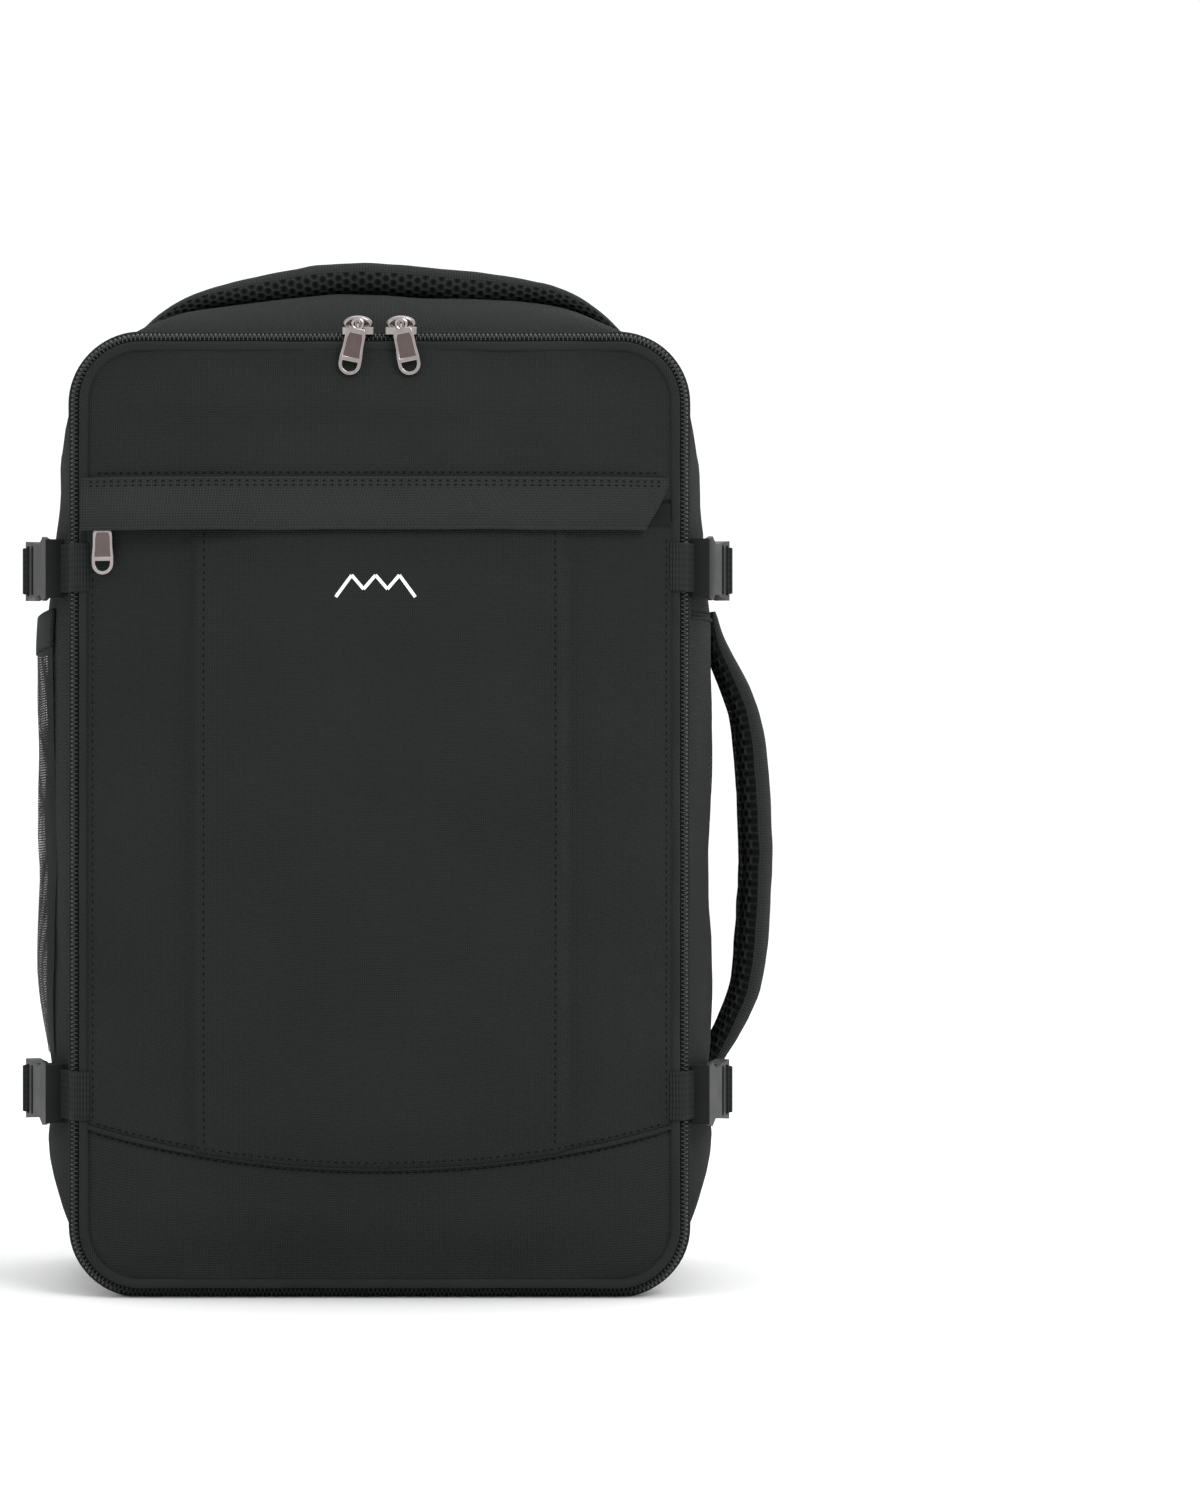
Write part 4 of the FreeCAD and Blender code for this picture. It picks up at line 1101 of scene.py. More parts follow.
def back_pad(name, low_z, high_z, channels, replaced=()):
    half_x = high("back_pads", 0)
    depth = high("back_pads", 1) - BACK_FACE
    rows = []
    for z in span(low_z, high_z, int((high_z - low_z) / 2.2)):
        over = min(26, max(low_z + 26 - z, z - (high_z - 26), 0))
        reach = half_x - 26 + math.sqrt(26 ** 2 - over ** 2)
        rows.append([Vector((x, BACK_FACE + pad_shape(x, z, half_x, low_z, high_z, depth, channels), z))
                     for x in span(-reach, reach, 100)])
    pad = sheet_piece(name, rows, "root", [spacer], 0, replaced, flip=True)
    width, front = len(rows[0]), len(rows) * len(rows[0])
    sewn = [r * width + c for r in range(len(rows)) for c in range(width)
            if r in (0, len(rows) - 1) or c in (0, width - 1)
            or any(abs(getattr(rows[r][c], kind) - value) < 1.6 for kind, value in channels)]
    close_behind(pad, len(rows), width, BACK_FACE + 0.3)
    SOFT.append((pad, sewn + list(range(front, len(pad.data.vertices))), 3.0))
    return pad


PADS = [(low("back_pads", 2), low("luggage_strap", 2) - 4),
        (high("luggage_strap", 2) + 3, high("back_pads", 2))]
for label, (start, stop) in zip(("lower", "upper"), PADS):
    middle = (start + stop) / 2
    back_pad(f"back_pad_{label}", start, stop, [("x", -38), ("x", 38), ("z", middle)],
             ["back_pads"] if label == "lower" else ())

band_low, band_high, band_half = low("luggage_strap", 2), high("luggage_strap", 2), high("luggage_strap", 0)
band_rows = []
for z in span(band_low, band_high, 16):
    edge = 1 - 0.12 * (2 * (z - band_low) / (band_high - band_low) - 1) ** 4
    band_rows.append([Vector((x, BACK_FACE + 1 + 17 * edge * max(0, 1 - (abs(x) / band_half) ** 6), z))
                      for x in span(-band_half, band_half, 60)])
sheet_piece("luggage_band", band_rows, "root", [oxford], 2.0, ["luggage_strap"], flip=True)

# ---------------------------------------------------------------- shoulder straps and their webbing

def padded_run(name, line, side, profile_at, node, materials, choice, relief=None):
    """A padded strap: its section changes along a line and closes softly at both ends."""
    frames = frames_along(line, side)
    count = len(frames)
    points = []
    for k, (centre, across, up) in enumerate(frames):
        for a, b in profile_at(k / (count - 1)):
            point = centre + across * a + up * b
            points.append(point + relief(point, across, up) if relief else point)
    width = len(points) // count
    along = run_lengths([f[0] for f in frames])
    around = run_lengths([Vector((a, b, 0)) for a, b in profile_at(0.5)])
    places = [(around[j], along[r]) for r in range(count) for j in range(width)]
    faces, choices = [], []
    for r in range(count - 1):
        for j in range(width):
            n = (j + 1) % width
            faces.append((r * width + j, r * width + n, (r + 1) * width + n, (r + 1) * width + j))
            choices.append(choice(j, r))
    faces.append(tuple(range(width - 1, -1, -1)))
    faces.append(tuple((count - 1) * width + j for j in range(width)))
    choices += [0, 0]
    obj = new_mesh(name, points, faces, places, materials, choices)
    finish_piece(obj, name, "root", [node])
    ends = [r * width + j for r in (0, 1, 2, count - 3, count - 2, count - 1) for j in range(width)]
    first = width // 4 if "handle" in name else 0  # a handle is sewn along its middle, a strap at its edges
    seams = [r * width + j for j in (first, first + width // 2) for r in range(count)]
    SOFT.append((obj, ends + seams, 2.0))


STRAP_COUNT, HANDLE_COUNT = 36, 40  # points round a padded strap and round a handle


def strap_section(width, thick, share):
    """A padded strap's section: fuller in the middle, thin at the ends and at its stitched edge."""
    end = min(1.0, math.sin(math.pi * min(1, max(0, share))) * 5) ** 0.5
    half = width / 2 * (0.72 + 0.28 * end)
    deep = max(1.2, thick / 2 * end)
    return [(x, y * (0.3 + 0.7 * eased((half - abs(x)) / 7)))
            for x, y in ellipse(half, deep, STRAP_COUNT, 0.55, 0.75)]


for side, word in ((1, "right"), (-1, "left")):
    node = f"shoulder_strap_{word}"
    x_mid = mid(node, 0)
    top_z, low_z = high(node, 2), low(node, 2)
    far = high(node, 1) - 9
    root_y = BACK_FACE + 6
    spine = smooth_run([Vector((x_mid, y, z)) for y, z in (
        (root_y, top_z - 6), (root_y + 22, top_z - 12), (far - 26, top_z - 60), (far, top_z - 150),
        (far - 4, top_z - 240), (far - 30, low_z + 80), (root_y + 26, low_z + 8))], 12)
    padded_run(node + "_pad", spine, Vector((side, 0, 0)),
               lambda share: strap_section(62, 13, share), node, [spacer, oxford],
               lambda j, r: 1 if j < STRAP_COUNT // 2 else 0)
    frames = frames_along(spine, Vector((side, 0, 0)))
    outer = [(c + u * (-6.6 if u.y < 0 else 6.6), s, u) for c, s, u in frames[14:-6]]
    sweep(f"strap_tape_{word}", outer, strap_profile(WEB, 1.4), "root", webbing)
    lock_z, lock_y = mid("ladder_locks", 2), mid("ladder_locks", 1)
    end = spine[-1]
    link = smooth_run([end + Vector((0, 0, 12)), end + Vector((0, -2, -6)),
                       Vector((x_mid, lock_y + 2, lock_z + 22)), Vector((x_mid, lock_y - 1, lock_z + 8))], 6)
    web_run(f"strap_link_{word}", link, Vector((side, 0, 0)), "root")
    tail = smooth_run([Vector((x_mid, lock_y + 1.5, lock_z + 3)), Vector((x_mid, lock_y + 2.5, lock_z - 9)),
                       Vector((x_mid - side, lock_y - 2, lock_z - 28)),
                       Vector((x_mid - side * 2, lock_y - 8, 8))], 8)
    web_run(f"strap_tail_{word}", tail, Vector((side, 0, 0)), "root",
            replaced=["shoulder_webbing"] if side > 0 else ())
    wing_x = side * (high("strap_wings", 0) - 4)
    anchor = smooth_run([Vector((x_mid, lock_y - 4, lock_z - 4)),
                         Vector((x_mid + side * 22, lock_y - 12, lock_z + 3)),
                         Vector((x_mid + side * 44, BACK_FACE + 6, lock_z + 14)),
                         Vector((wing_x - side * 14, BACK_FACE + 2.5, lock_z + 20))], 8)
    web_run(f"strap_anchor_{word}", anchor, UP, "root")
    wing_rows = []
    for t in span(0, 1, 10):
        x = wing_x - side * 44 * t
        spread = 15 - 3 * t
        level = lock_z + 19 - 2 * t
        puff = [2.6 * math.sin(math.pi * k / 12) ** 0.7 * (0.4 + 0.6 * t) for k in range(13)]
        wing_rows.append([Vector((x, BACK_FACE + 1.2 + puff[k], level + spread * (k / 6 - 1)))
                          for k in range(13)])
    sheet_piece(f"strap_wing_{word}", wing_rows, "root", [oxford], 1.2,
                ["strap_wings"] if side > 0 else (), flip=side > 0)

# ---------------------------------------------------------------- handles

def handle_thickness(thick, share):
    """Thin where it is sewn down, full along its arch."""
    return thick * (0.24 + 0.76 * min(1.0, 1.12 * math.sin(math.pi * share) ** 0.9))


def handle_section(width, thick, share):
    """Two padded tubes side by side under one cover, flat at the sewn ends."""
    end = min(1.0, math.sin(math.pi * share) * 3.2)
    half = width / 2 * (0.86 + 0.14 * end)
    deep = handle_thickness(thick, share) / 2
    return [(x, y * (1 - (0.62 if y > 0 else 0.3) * math.exp(-(x / 3.2) ** 2) * end))
            for x, y in ellipse(half, deep, HANDLE_COUNT, 0.62, 0.8, crowd=0.42)]


def cover_above(height):
    """Which of two materials covers a handle: its cloth above this part of its section, mesh below."""
    return lambda j, r: 0 if math.sin(2 * math.pi * (j + 0.5) / HANDLE_COUNT) > height else 1


def handle_creases(point, across, up):
    return up * (noise.noise(point / 11) * 0.5) + across * (noise.noise(point / 17) * 0.6)


def crown_height(x):
    """The top of the body under the handle."""
    ring = RINGS[len(RINGS) // 2]
    columns = [ring[k][0] for k in range(HIGH_ARC, TURN_END)]
    for a, b in zip(columns, columns[1:]):
        if b.x <= x <= a.x:
            return a.z + (b.z - a.z) * (a.x - x) / max(0.01, a.x - b.x)
    return columns[0].z


top_out = high("top_handle", 0) + 4
top_crown = high("top_handle", 2) + 2.5
HANDLE_THICK = 18.0
top_line = []
for t in span(0, 1, 72):
    x = -top_out + 2 * top_out * t
    arch = math.sin(math.pi * t) ** 0.75
    top = crown_height(x) + 2.0 + (top_crown - crown_height(0) - 2.0) * arch
    top_line.append(Vector((x, 0, top - handle_thickness(HANDLE_THICK, t) / 2)))
padded_run("top_handle_pad", top_line, Vector((0, 1, 0)),
           lambda share: handle_section(39, HANDLE_THICK, share), "top_handle", [coarse, spacer],
           cover_above(0.23), handle_creases)
side_low, side_high = low("side_handle", 2), high("side_handle", 2)
side_out = high("side_handle", 0) - 3.0
side_mid = mid("side_handle", 1)


def wall_x(z):
    return side_point(side_mid, z)[0].x


side_line = smooth_run([Vector((x, side_mid, z)) for x, z in (
    (wall_x(side_low + 4) + 1, side_low + 2), (wall_x(side_low + 20) + 4, side_low + 20),
    (side_out - 5, side_low + 58), (side_out, side_low + 110), (side_out, side_high - 110),
    (side_out - 5, side_high - 58), (wall_x(side_high - 20) + 4, side_high - 20),
    (wall_x(side_high - 4) + 1, side_high - 2))], 12)
padded_run("side_handle_pad", side_line, Vector((0, -1, 0)), lambda share: handle_section(47, 17, share),
           "side_handle", [coarse, spacer], cover_above(-0.055), handle_creases)

swell_all()

# ---------------------------------------------------------------- side straps and buckles

SLOPE_BACK, SLOPE_OUT = 0.9578, 0.2873  # the buckles lean out this way as they run back


def ladder_points(side, u, n):
    """A place beside a buckle: u along the body's slope, n outward."""
    inner = low("female_buckles_right", 0) if side > 0 else high("female_buckles_left", 0)
    front = low("female_buckles_right" if side > 0 else "female_buckles_left", 1) + 2.87
    return (Vector((inner, front, 0)) + Vector((side * SLOPE_OUT, SLOPE_BACK, 0)) * u
            + Vector((side * SLOPE_BACK, -SLOPE_OUT, 0)) * n)


REAR_END = high("compression_webbing", 1)
for side, word in ((1, "right"), (-1, "left")):
    for name, level in LEVELS.items():
        raised = Vector((0, 0, level))
        male = f"male_buckle_{word}_{name}"
        # webbing over the body behind the buckle, from the ladder bars to the back seam
        start = ladder_points(side, 50.5, 3.2) + raised
        line = [start] + side_run(level, start.y + 10, REAR_END, side, 1.0, 14)[0]
        rear = web_run(f"strap_rear_{word}_{name}", smooth_run(line, 4), UP, "root", 1.5,
                       replaced=["compression_webbing"] if (side, name) == (1, "upper") else ())
        bend_piece(rear)
        # the loop through the male half, and its doubled tail
        loop = smooth_run([ladder_points(side, u, n) + raised for u, n in
                           ((51.5, 2.6), (47.5, 1.4), (44.5, 3.2), (44.2, 7.6), (46.5, 10.4), (50.5, 9.4),
                            (53.5, 7.0))], 5)
        web_run(f"strap_loop_{word}_{name}", loop, UP, male, width=WEB - 1)

FRONT_WEB = low("lid_webbing", 1)
for name, level in LEVELS.items():
    raised = Vector((0, 0, level))
    around = [Vector((FACE_HALF - 4, FRONT_WEB + 3.2, 0)), Vector((FACE_HALF + 1.5, FRONT_WEB + 1.2, 0)),
              Vector((HALF - 1, FRONT_WEB + 4.6, 0)), Vector((HALF + 1.0, LID_EDGE - 2, 0)),
              ladder_points(1, -1.0, 1.0), ladder_points(1, 3.5, 2.2)]
    web_run(f"lid_strap_right_{name}", [p + raised for p in smooth_run(around, 6)], UP, "lid", 1.5,
            replaced=["lid_webbing"] if name == "upper" else ())
    around = [Vector((-FACE_HALF + 4, FRONT_WEB + 3.2, 0)), Vector((-FACE_HALF - 1.5, FRONT_WEB + 1.2, 0)),
              Vector((-HALF + 1, FRONT_WEB + 4.4, 0)), Vector((-HALF - 1.4, LID_EDGE - 2, 0)),
              Vector((-HALF - 2.2, BODY_FRONT - 3, 0)), ladder_points(-1, -0.5, 1.2),
              ladder_points(-1, 4.5, 2.2)]
    strap = web_run(f"lid_strap_left_{name}", [p + raised for p in smooth_run(around, 6)], UP, "root", 1.5)
    bend_piece(strap)

# ---------------------------------------------------------------- side pocket, side zip, laptop zip

POCKET_LOW, POCKET_HIGH = low("bottle_pocket", 2), high("bottle_pocket_binding", 2)
BAND_LOW = low("bottle_pocket_binding", 2)
POCKET_Y = high("bottle_pocket", 1)


def pocket_lift(depth, z):
    """The side pocket stands off the body above its foot."""
    share = (z - POCKET_LOW) / (POCKET_HIGH - POCKET_LOW)
    middle = max(0, 1 - (abs(depth) / POCKET_Y) ** 4)
    return 0.8 + 3.7 * eased(share * 4.5) * middle + 0.8 * math.sin(share * 9)


def pocket_rows(z_from, z_to, rows, extra=0.0):
    made = []
    for z in span(z_from, z_to, rows):
        row = []
        for depth in span(-POCKET_Y, POCKET_Y, 36):
            rise = eased((z - POCKET_LOW) / (POCKET_HIGH - POCKET_LOW))
            sag = 7 * (1 - (depth / POCKET_Y) ** 2) * rise * 0.6
            row.append(side_point(depth, z - sag, -1, pocket_lift(depth, z) + extra)[0])
        made.append(row)
    return made


sheet_piece("side_pocket_net", pocket_rows(POCKET_LOW, BAND_LOW + 2, 26), "root", [net], 0.0,
            ["bottle_pocket"], flip=True)
sheet_piece("side_pocket_band", pocket_rows(BAND_LOW, POCKET_HIGH, 6, 0.7), "root", [binding],
            1.6, ["bottle_pocket_binding"], flip=True)

PORT_Y, PORT_Z = mid("usb_port", 1), mid("usb_port", 2)
PORT_HALF_Y, PORT_HALF_Z = 15.5, 18.5


def port_lift(a, b):
    """A rubber patch: raised border, sunk field, a raised cross and a small bar mark below it."""
    border = min(PORT_HALF_Y - abs(a), PORT_HALF_Z - abs(b))
    corner = math.hypot(max(0, abs(a) - PORT_HALF_Y + 5), max(0, abs(b) - PORT_HALF_Z + 5))
    edge = min(border, 5 - corner if corner else border)
    height = 2.6 * eased(edge / 1.2) - 1.0 * eased((edge - 2.6) / 1.0)
    height -= 0.7 * eased((edge - 5.2) / 0.8) * (1 if b > -8 else 0)
    cross = min(abs(a - (b - 2.5) * 0.95), abs(a + (b - 2.5) * 0.95)) / 1.38
    if edge > 5 and b > -8:
        height += 0.8 * (1 - eased((cross - 0.7) / 0.6))
    mark = max(abs(a) - 4.5, abs(b + 12) - 1.8)
    return height + 0.6 * (1 - eased((abs(mark + 0.4) - 0.2) / 0.4))


port_rows = []
for b in span(-PORT_HALF_Z, PORT_HALF_Z, 62):
    over = max(0, abs(b) - PORT_HALF_Z + 5)
    reach = PORT_HALF_Y - 5 + math.sqrt(max(0, 25 - over * over))
    base = [side_point(PORT_Y + PORT_HALF_Y * t, PORT_Z + b, 1) for t in span(-1, 1, 8)]
    row = []
    for a in span(-reach, reach, 50):
        place = (a / PORT_HALF_Y + 1) * 4
        k = max(0, min(7, int(place)))
        point = base[k][0].lerp(base[k + 1][0], place - k)
        row.append(point + base[k][1] * (0.2 + port_lift(a, b)))
    port_rows.append(row)
sheet_piece("port_patch", port_rows, "root", [rubber], 0.0, ["usb_port"])

for label, z in (("upper", LEVELS["upper"] - 25), ("lower", LEVELS["lower"] - 8)):
    for side, word in ((1, "right"), (-1, "left")):
        if side > 0 or label == "lower":
            line = side_run(z, BODY_FRONT + 4, BODY_BACK - 4, side, 0.3, 24)[0]
            tube(f"side_seam_{label}_{word}", line, 0.9, "root", oxford)
            row = side_run(z + 3.0, BODY_FRONT + 5, BODY_BACK - 5, side, 0.15, 40)
            stitches(f"side_stitch_{label}_{word}", *row, "root")

SIDE_ZIP_LOW, SIDE_ZIP_HIGH = low("side_pocket_zip", 2), high("side_pocket_zip", 2)
SIDE_ZIP_Y = mid("side_pocket_zip", 1) - 0.5
side_zip_rows = []
for z in span(SIDE_ZIP_LOW, SIDE_ZIP_HIGH, 30):
    side_zip_rows.append([side_point(SIDE_ZIP_Y + t, z, 1, 0.5 + (0.9 if abs(t) < 1.5 else 0))[0]
                          for t in span(-6, 6, 12)])
sheet_piece("side_zip_tape", side_zip_rows, "root", [tape, coil], 0.7, ["side_pocket_zip"],
            choice=lambda r, c: 1 if 4 <= c < 8 else 0)

LAPTOP_Y = mid("laptop_zip", 1)
laptop_frames = [f for f in rim_frames(0.6, LAPTOP_Y) if f[0].z > low("laptop_zip", 2)]
sweep("laptop_tape", laptop_frames, flat_profile(0.9, 11), "root", tape, replaced=["laptop_zip"])
sweep("laptop_coil", [(c + s * 0.6, s, u) for c, s, u in laptop_frames], ellipse(0.9, 2.0), "root",
      coil)

# ---------------------------------------------------------------- inside

def lining_rows():
    """The skin's own shape, a little inside it and softly creased."""
    rows = []
    for depth in span(BODY_FRONT + 0.5, low("divider_panel", 1) - 0.5, 24):
        ring = body_ring(depth, 3.4)
        row = []
        for k in range(AROUND + 1):
            point, normal = ring[k % AROUND]
            row.append(point - normal * (0.4 + max(0, crumple(point + Vector((0, 0, 300)), 34, 1.6))))
        rows.append(row)
    return rows


sheet_piece("body_lining", lining_rows(), "root", [lining], 0.0, ["main_lining"])
divider_rows = plate_rows(-low("divider_panel", 0), low("divider_panel", 2), high("divider_panel", 2), 30,
                          low("divider_panel", 1) + 0.6, 60, 40,
                          lambda x, z: -1.4 * abs(noise.noise(Vector((x / 45, z / 60, 1)))))
sheet_piece("divider", divider_rows, "root", [lining], 1.0, ["divider_panel"])
STRAP_Y = low("inner_strap", 1)
band_mid = low("inner_strap", 2) + WEB / 2
band = [Vector((x, STRAP_Y + 0.2 - 1.2 * (1 - (x / 144) ** 2), band_mid)) for x in span(-144, 144, 30)]
web_run("inner_band", band, UP, "root", material=grey_tape, replaced=["inner_strap"])
arm_rise = high("inner_strap", 2) - band_mid
for side, word in ((-1, "left"), (1, "right")):
    arm = [Vector((side * (6 + 134 * t), STRAP_Y - 1.6 + 0.8 * t, band_mid + 4 + arm_rise * t))
           for t in span(0, 1, 24)]
    across = (arm[-1] - arm[0]).cross(OUT_BACK).normalized()
    web_run(f"inner_arm_{word}", arm, across, "root", 1.3, material=grey_tape)

LID_IN = high("lid_lining", 1)
satin_rows = plate_rows(high("lid_lining", 0) - 3, low("lid_lining", 2) + 3, high("lid_lining", 2) - 3, 26,
                        LID_IN, 70, 50, lambda x, z: 0.5 * noise.noise(Vector((x / 30, z / 30, 6))))
sheet_piece("lid_satin", satin_rows, "lid", [lining], 0.8, ["lid_lining"], flip=True)
mesh_half = high("lid_mesh_pockets", 0)
zip_levels = [low("lid_mesh_zips", 2) + 9.5, high("lid_mesh_zips", 2) - 9.5]
for label, start, stop in (("lower", low("lid_mesh_pockets", 2), zip_levels[0] - 7),
                           ("upper", zip_levels[0] + 7, zip_levels[1] - 7),
                           ("top", zip_levels[1] + 7, high("lid_mesh_pockets", 2))):
    rows = []
    for z in span(start, stop, 36):
        over = min(22, max(low("lid_mesh_pockets", 2) + 22 - z, z - (high("lid_mesh_pockets", 2) - 22), 0))
        reach = mesh_half - 22 + math.sqrt(22 ** 2 - over ** 2)
        t = (z - start) / (stop - start)
        rows.append([Vector((x, LID_IN + 1.3 + 2.2 * math.sin(math.pi * t) * (1 - (x / mesh_half) ** 4)
                             + 0.7 * noise.noise(Vector((x / 18, z / 30, 3))), z))
                     for x in span(-reach, reach, 50)])
    sheet_piece(f"lid_net_{label}", rows, "lid", [lining_net], 0.0,
                ["lid_mesh_pockets"] if label == "lower" else (), flip=True)
for label, level in zip(("lower", "upper"), zip_levels):
    rows = [[Vector((x, LID_IN + 1.7 + (0.9 if abs(z - level) < 2 else 0), z)) for x in span(-141, 141, 40)]
            for z in span(level - 9.5, level + 9.5, 14)]
    sheet_piece(f"lid_zip_band_{label}", rows, "lid", [grey_tape, coil], 0.8,
                ["lid_mesh_zips"] if label == "lower" else (), choice=lambda r, c: 1 if 5 <= r < 9 else 0,
                flip=True)

# hinge cloth across the fold, taken off its body
hinge_rows = [[Vector((-HALF + 3.4 + 0.4 * math.sin(math.pi * k / 12),
                       LID_EDGE - 4 + (BODY_FRONT - LID_EDGE + 4) * k / 12, z)) for k in range(13)]
              for z in span(HINGE_LOW, HINGE_HIGH, 60)]
hinge_cloth = sheet_piece("hinge_cloth", hinge_rows, "root", [oxford], 1.0, ["hinge_strip"],
                          flip=True)
bend_piece(hinge_cloth)

# ---------------------------------------------------------------- hard pieces kept from the frame

def keep_part(node, material, edge=0.5, segments=2):
    """A CAD node that stays, with its edges softened and its own finish."""
    obj = frame["nodes"][node]
    obj.data.materials.clear()
    obj.data.materials.append(material)
    merge = obj.modifiers.new("merge", "WELD")
    merge.merge_threshold = 0.00001
    flat = obj.modifiers.new("flat", "DECIMATE")
    flat.decimate_type = "DISSOLVE"
    flat.angle_limit = math.radians(1)
    soft = obj.modifiers.new("edges", "BEVEL")
    soft.width = edge * MM
    soft.segments = segments
    soft.limit_method = "ANGLE"
    soft.angle_limit = math.radians(30)


for node in ("ladder_locks", "female_buckles_left", "female_buckles_right", *(
        f"male_buckle_{side}_{level}" for side in ("right", "left") for level in ("upper", "lower"))):
    keep_part(node, plastic, 0.7)
keep_part("lid_board", foam, 0.2, 1)
for name in ("main_zip_right", "main_zip_left", "laptop_zip_upper", "laptop_zip_lower", "side_pocket_zip",
             "pocket_zip", "lid_mesh_zip_lower", "lid_mesh_zip_upper"):
    keep_part(name + "_slider", bright, 0.45)


END_Y = 18.6  # the middle of a pull's round lower end, from its bar down


def half_round(radius, step):
    """Places round the lower half of a circle at a pull's end."""
    return [(radius * math.cos(math.radians(a)), END_Y + radius * math.sin(math.radians(a)))
            for a in range(0, 181, step)]


def puller_outline(grow=0.0):
    """A nearly straight plate with a round lower end, from its bar down."""
    half, top = 5.5 + grow, 4.0 + grow
    return [(-top, 0.4 - grow), (top, 0.4 - grow), (top + 0.9, 3.4), (half - 0.5, 10), (half, 15),
            *half_round(half, 15), (-half, 15), (-half + 0.5, 10), (-top - 0.9, 3.4)]


def d_slot(half=4.1, flat=17.1):
    """The hole in a pull's round end."""
    return [(-half, flat), (half, flat), *half_round(half, 20)]


def make_puller(name, hang, normal, splay):
    """A zip puller: a plate with a raised border, hanging from a wire loop."""
    node = name + "_puller"
    down = Vector((math.sin(splay), 0, -math.cos(splay)))
    across = down.cross(normal).normalized()
    top = hang + down * 2.2
    place = place_at(top, across, down, across.cross(down))
    flat = slab(node + "_field", puller_outline(), [d_slot()], 1.1, 0.25, place, metal)
    field = [(x * 0.76, 3.0 + (y - 0.4) * 0.83) for x, y in puller_outline() if y < 15.2]
    rim = slab(node + "_rim", puller_outline(0.25), [field, d_slot(3.9, 17.4)], 1.8, 0.35, place, bright)
    loop = [hang + across * (2.6 * math.cos(a)) + down * (0.2 + 2.6 * math.sin(a)) for a in
            (math.radians(15 * k) for k in range(24))]
    ring = []
    for k in range(24):
        ahead = (loop[(k + 1) % 24] - loop[k - 1]).normalized()
        ring.append((loop[k], normal, ahead.cross(normal)))
    points = [centre + side * a + up * b for centre, side, up in ring for a, b in ellipse(0.75, 0.75, 8)]
    faces = []
    for r in range(24):
        for j in range(8):
            here, after, n = r * 8, (r + 1) % 24 * 8, (j + 1) % 8
            faces.append((here + j, here + n, after + n, after + j))
    wire = new_mesh(node + "_loop", points, faces, None, [bright])
    joined(node + "_plate", [flat, rim, wire], node, [node])


PULLS = {"main_zip_right": OUT_FRONT, "main_zip_left": OUT_FRONT, "laptop_zip_upper": OUT_RIGHT,
         "laptop_zip_lower": OUT_RIGHT, "side_pocket_zip": Vector((SLOPE_BACK, SLOPE_OUT, 0)),
         "pocket_zip": Vector((-0.26, -0.9656, 0)), "lid_mesh_zip_lower": OUT_BACK,
         "lid_mesh_zip_upper": OUT_BACK}  # each pull and the way it faces
SPLAY = {"main_zip_right": 0.2, "main_zip_left": -0.2}  # radians, away from each other
for name, normal in PULLS.items():
    node = name + "_puller"
    hang = Vector((mid(node, 0), mid(node, 1), high(node, 2) - 1.6))
    if name.startswith("main_zip"):
        hang.y = low(node, 1) + 0.8
        slider = name + "_slider"
        arm = smooth_run([Vector((hang.x, mid(slider, 1), high(slider, 2) - 2.2)),
                          Vector((hang.x, mid(slider, 1) - 4.5, high(slider, 2) - 0.9)),
                          Vector((hang.x, hang.y + 2.2, high(node, 2) - 0.6)),
                          hang + Vector((0, 0.4, -2.4))], 6)
        tube(name + "_arm", arm, 1.15, node, bright, side=OUT_RIGHT)
        centre = Vector((hang.x, mid(slider, 1) - 1.5, mid(slider, 2) + 1.5))
        bow = [centre + Vector((6.2 * math.cos(a), -1.2 * math.sin(a), 3.0 * math.sin(a)))
               for a in (math.radians(10 * k) for k in range(36))]
        tube(name + "_bow", bow, 1.35, slider, bright, closed=True, side=OUT_BACK)
    make_puller(name, hang, normal, SPLAY.get(name, 0.0))

# ---------------------------------------------------------------- floor, light and camera

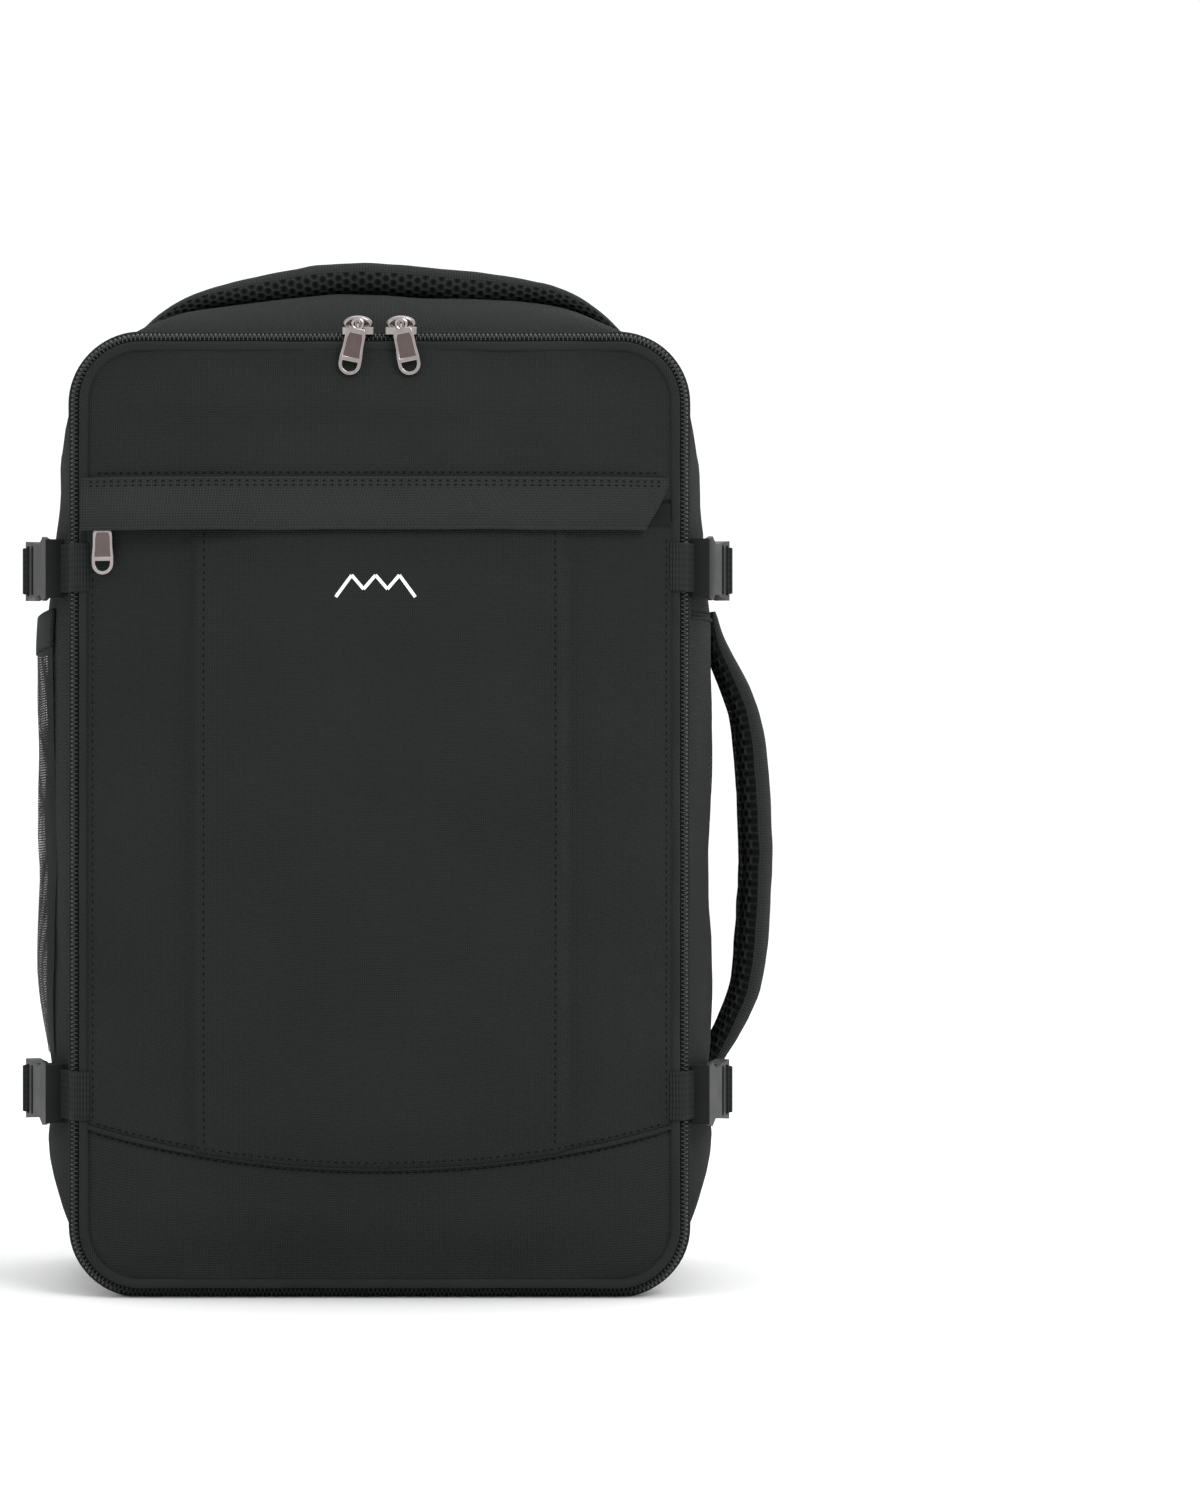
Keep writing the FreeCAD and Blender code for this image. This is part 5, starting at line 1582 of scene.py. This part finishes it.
# a pale floor, far wider than any view of it
FAR = 40000
pale = Paint("pale_floor", 0.9)
pale.feed("Base Color", pale.between(pale.cloud(400), (0.93, 0.93, 0.935, 1), (0.955, 0.955, 0.955, 1)))
corners = [(-FAR, -FAR, 0), (FAR, -FAR, 0), (FAR, FAR, 0), (-FAR, FAR, 0)]
new_mesh("studio_floor", corners, [(0, 1, 2, 3)], None, [pale.material])


def soft_light(name, place, aim_height, size, power):
    """A soft light that faces the middle of the bag at a height."""
    data = bpy.data.lights.new(name, "AREA")
    data.shape = "RECTANGLE"
    data.size, data.size_y = size
    data.energy = power
    light = bpy.data.objects.new(name, data)
    bpy.context.scene.collection.objects.link(light)
    light.location = place
    light.rotation_euler = (Vector((0, 0, aim_height)) - Vector(place)).to_track_quat("-Z", "Y").to_euler()


soft_light("key", (1.3, -2.6, 2.2), 0.28, (1.2, 1.2), 46)
soft_light("fill", (-2.1, -2.2, 1.2), 0.25, (1.6, 1.6), 6)
soft_light("top", (0.0, 0.3, 2.8), 0.2, (2.0, 2.0), 18)
soft_light("rear", (1.2, 2.6, 1.8), 0.3, (1.6, 1.2), 14)

world = bpy.data.worlds.new("studio")
bpy.context.scene.world = world
world.use_nodes = True
world.node_tree.nodes["Background"].inputs["Color"].default_value = (0.995, 0.998, 1.0, 1)
world.node_tree.nodes["Background"].inputs["Strength"].default_value = 1.1

camera = bpy.data.cameras.new("camera")
FRAME_HEIGHT = 762.0  # what the camera takes in at the lid's face, top to bottom
CAMERA_BACK = 2700.0  # from the lid's face
EYE_LEVEL = 279.0
SENSOR = 36.0
camera.sensor_fit = "VERTICAL"
camera.sensor_height = SENSOR
camera.lens = SENSOR * CAMERA_BACK / FRAME_HEIGHT
camera.shift_x = 0.147  # the bag stands left of the middle
camera.clip_end = 50
eye = bpy.data.objects.new("camera", camera)
bpy.context.scene.collection.objects.link(eye)
eye.location = (0, (low("lid_piping", 1) - CAMERA_BACK) * MM, EYE_LEVEL * MM)
eye.rotation_euler = (math.radians(90), 0, 0)
bpy.context.scene.camera = eye
bpy.context.scene.view_settings.view_transform = "Standard"
